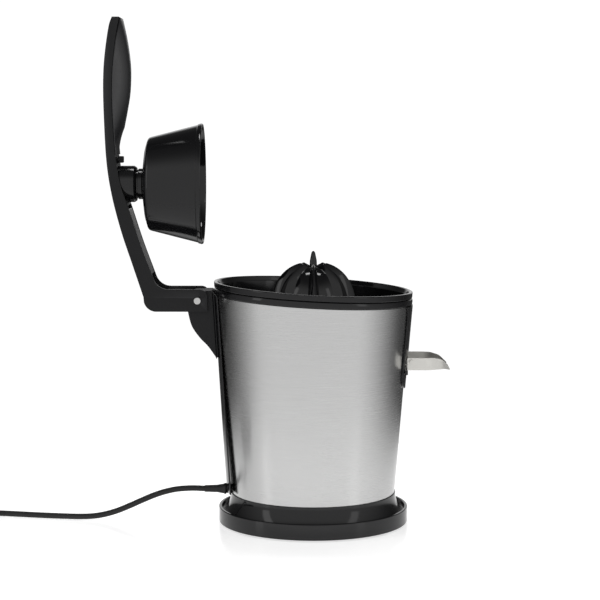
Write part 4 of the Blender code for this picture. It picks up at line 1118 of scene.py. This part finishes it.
def make_large_cone():
    """The large cone, whose ridges turn inwards at the top round a spike."""
    low, high = box("large_cone")
    foot, tip = low.z, high.z
    ring_r, ring_h, dome_r, dome_h, shoulder_r, hollow_r = 42.5, 9.5, 41.0, 48.1, 12.5, 36.4
    crest = oval(dome_r, dome_h, 2.3, shoulder_r, 40)
    crest += [(shoulder_r - 8.2 * k / 6, crest[-1][1] - 2.6 * k / 6) for k in range(1, 7)]
    crest = [(r, ring_h + z) for r, z in crest]
    valley = [(r, ring_h + z) for r, z in oval(34.0, 44.0, 2.3, 4.0, 46)]
    ring = rounded([
        (ring_r - 0.9, ring_h), (ring_r, ring_h - 0.9, 0.4), (ring_r, 0.8, 0.5), (ring_r - 1.4, 0.0, 0.4),
        (hollow_r, 0.0),
    ], False)
    hollow = [(hollow_r, 2.0), *round_hollow(hollow_r - 1.0, ring_h - 2, 37.0, 14)]
    cone = make_cone("large_cone_fine", foot, ring, crest, valley, hollow, 6.4, 2.2, ring_h + dome_h - 3.6)
    spike = lathe("large_cone_spike", [
        (0, tip - 16), (3.6, tip - 16), (3.3, tip - 9.0), (1.7, tip - 1.2, 1.2), (0.5, tip, 0.3), (0, tip),
    ], 40)
    finished(join(cone, spike), "large_cone", "gloss_black", "large_cone")


def make_spindle():
    """The round shaft, the hexagon on which the cones sit, and the seal round the shaft."""
    r, foot, shoulder = SPINDLE_HIGH.x, SPINDLE_LOW.z, 206.0
    shaft = lathe("spindle_fine", [(0, shoulder), (r, shoulder, 0.5), (r, foot, 0.6), (0, foot)], 64)
    drive = prism("spindle_hexagon", circle((0, 0), r - 0.4, 6), shoulder - 2.0, SPINDLE_HIGH.z - 4.0, "XY")
    settle(soften(drive, 0.5, 2, 35.0))
    finished(join(shaft, drive), "output_spindle", "pin_steel", "spindle")

    low, high = box("shaft_seal")
    bore = 5.3
    seal = lathe("shaft_seal_fine", [
        (high.x, high.z, 0.5), (high.x, low.z, 0.3), (bore, low.z, 0.3), (bore, high.z - 1.6, 0.3),
        (bore + 0.8, high.z, 0.3),
    ], 64)
    finished(seal, "housing", "rubber", "shaft_seal")


# --- spout ---


def make_spout():
    """A folded steel trough: flat floor, upright sides whose tops sweep down to a narrow beak."""
    root, tip = SPOUT_LOW.x - 1.5, SPOUT_HIGH.x
    low, top, half, thin = 149.4, 161.0, 24.6, 0.8
    pivot_x, pivot_z = 92.0, 157.5
    spout = prism("spout_fine", [
        (root, low), (tip - 6.0, low, 4.0), (tip, low - 2.2), (tip - 0.4, low - 1.0),
        (tip - 2.4, low + 3.4, 3.0), (tip - 9.0, top - 2.2, 8.0), (tip - 17.0, top - 0.2, 14.0), (root, top),
    ], -half, half)
    beak = mirrored([(root - 1, -half), (109.0, -half, 14.0), (122.0, -17.0, 8.0), (tip + 1, -5.0)])
    inside = -half + thin
    trough = mirrored([(root - 5, inside), (108.8, inside, 13.2), (121.4, -16.3, 7.4), (tip + 3, -3.6)])
    combine(spout, "INTERSECT", prism("spout_plan", beak, 120, 180, "XY"))
    cut(spout, prism("spout_trough", trough, low + thin, 190, "XY"))
    journals = []
    for sign in (-1, 1):
        start, end = (pivot_x, sign * (half - 0.5), pivot_z), (pivot_x, sign * 26.3, pivot_z)
        journals.append(rod(f"journal_{sign}", start, end, 1.7, 32))
    join(spout, *journals)
    finished(soften(spout, 0.22, 2, 50.0), "spout", "brushed_steel", "spout", look="spout_steel")


# --- pieces that stay as the frame has them ---


def finish_frame_nodes():
    """Sealed inner pieces keep their frame meshes and get a procedural finish."""
    slots = {row["node"]: row["material_slot"] for row in frame["record"]["subparts"]}
    for name, node in frame["nodes"].items():
        if node.hide_render:
            continue
        node.data.materials.clear()
        node.data.materials.append(FINISH[slots[name]])


# --- studio ---


def area_light(name, place, target, size, power):
    data = bpy.data.lights.new(name, "AREA")
    data.shape = "RECTANGLE"
    data.size, data.size_y = size
    data.energy = power
    lamp = bpy.data.objects.new(name, data)
    lamp.location = place
    lamp.rotation_euler = (Vector(target) - Vector(place)).to_track_quat("-Z", "Y").to_euler()
    bpy.context.scene.collection.objects.link(lamp)


def make_world():
    """A white backdrop that lights the object from a broad front, with a dim back and a low glow behind."""
    world = bpy.data.worlds.new("studio")
    bpy.context.scene.world = world
    world.use_nodes = True
    tree = world.node_tree
    direction = tree.nodes.new("ShaderNodeTexCoord")
    parts = tree.nodes.new("ShaderNodeSeparateXYZ")
    feed(tree, direction.outputs["Generated"], parts.inputs["Vector"])
    y, z = parts.outputs["Y"], parts.outputs["Z"]
    front = ramp(tree, y, 0.7, -0.7, 0.07, 1.0)
    below_ceiling = ramp(tree, z, 0.5, 0.9, 1.0, 0.2)
    behind = ramp(tree, y, 0.84, 0.96, 0.0, 0.85)
    above_floor = ramp(tree, z, 0.0, 0.08, 0.0, 1.0)
    dome = calculate(tree, "MULTIPLY", front, below_ceiling)
    glow = calculate(tree, "MULTIPLY", behind, above_floor)
    light, backdrop = tree.nodes["Background"], tree.nodes.new("ShaderNodeBackground")
    for source, strength in ((light, calculate(tree, "ADD", dome, glow)), (backdrop, 1.05)):
        source.inputs["Color"].default_value = (1, 1, 1, 1)
        feed(tree, strength, source.inputs["Strength"])
    seen = tree.nodes.new("ShaderNodeLightPath").outputs["Is Camera Ray"]
    mix_shaders(tree, seen, light.outputs["Background"], backdrop.outputs["Background"], "World Output")


def make_floor():
    """A pale acrylic floor, softly glossy near the object, that fades into the white backdrop further out."""
    finish = Finish("studio_floor", 0.16)
    place = finish.place()
    cloud = finish.noise(place, 3.0, 3.0)
    tone = finish.mix(finish.spread(cloud, 0.0, 1.0), (0.88, 0.88, 0.88), (0.91, 0.91, 0.91))
    finish.drive("Base Color", tone)
    finish.drive("Roughness", finish.spread(cloud, 0.12, 0.18))
    finish.inputs["Emission Color"].default_value = (1, 1, 1, 1)
    finish.inputs["Emission Strength"].default_value = 0.62
    finish.inputs["IOR"].default_value = 1.3
    reach = finish.add("ShaderNodeVectorMath", Vector=place)
    reach.operation = "LENGTH"
    fade = ramp(finish.tree, reach.outputs["Value"], 0.2, 0.62, 0.0, 1.0)
    gloss = finish.tree.nodes["Principled BSDF"].outputs["BSDF"]
    clear = finish.add("ShaderNodeBsdfTransparent").outputs["BSDF"]
    mix_shaders(finish.tree, fade, gloss, clear, "Material Output")
    shape = bmesh.new()
    bmesh.ops.create_grid(shape, x_segments=8, y_segments=8, size=12000.0)
    floor = to_object("studio_floor", shape)
    floor.location = (0, 0, -0.0002)
    floor.data.materials.append(finish.material)


def make_studio():
    make_world()
    make_floor()
    middle = (-0.03, 0, 0.25)
    area_light("top_softbox", (0.0, 0.3, 1.7), middle, (0.9, 0.26), 8.0)
    area_light("left_softbox", (-1.6, -0.7, 0.75), middle, (0.35, 1.3), 2.0)
    area_light("right_softbox", (1.4, -0.9, 0.75), middle, (0.35, 1.2), 1.4)
    bpy.context.scene.view_settings.view_transform = "Standard"


make_camera()
make_cord()
make_tray()
make_cover()
for number in range(1, 5):
    make_foot(number)
    make_screw(number)
make_shell()
make_spine()
make_panel()
make_collar()
make_bowl()
make_bracket()
make_pin()
make_lever()
make_grip()
make_boss()
make_neck()
make_bell()
make_strainer()
make_pulp_ring()
make_hub()
make_small_cone()
make_large_cone()
make_spindle()
make_spout()
finish_frame_nodes()
make_studio()
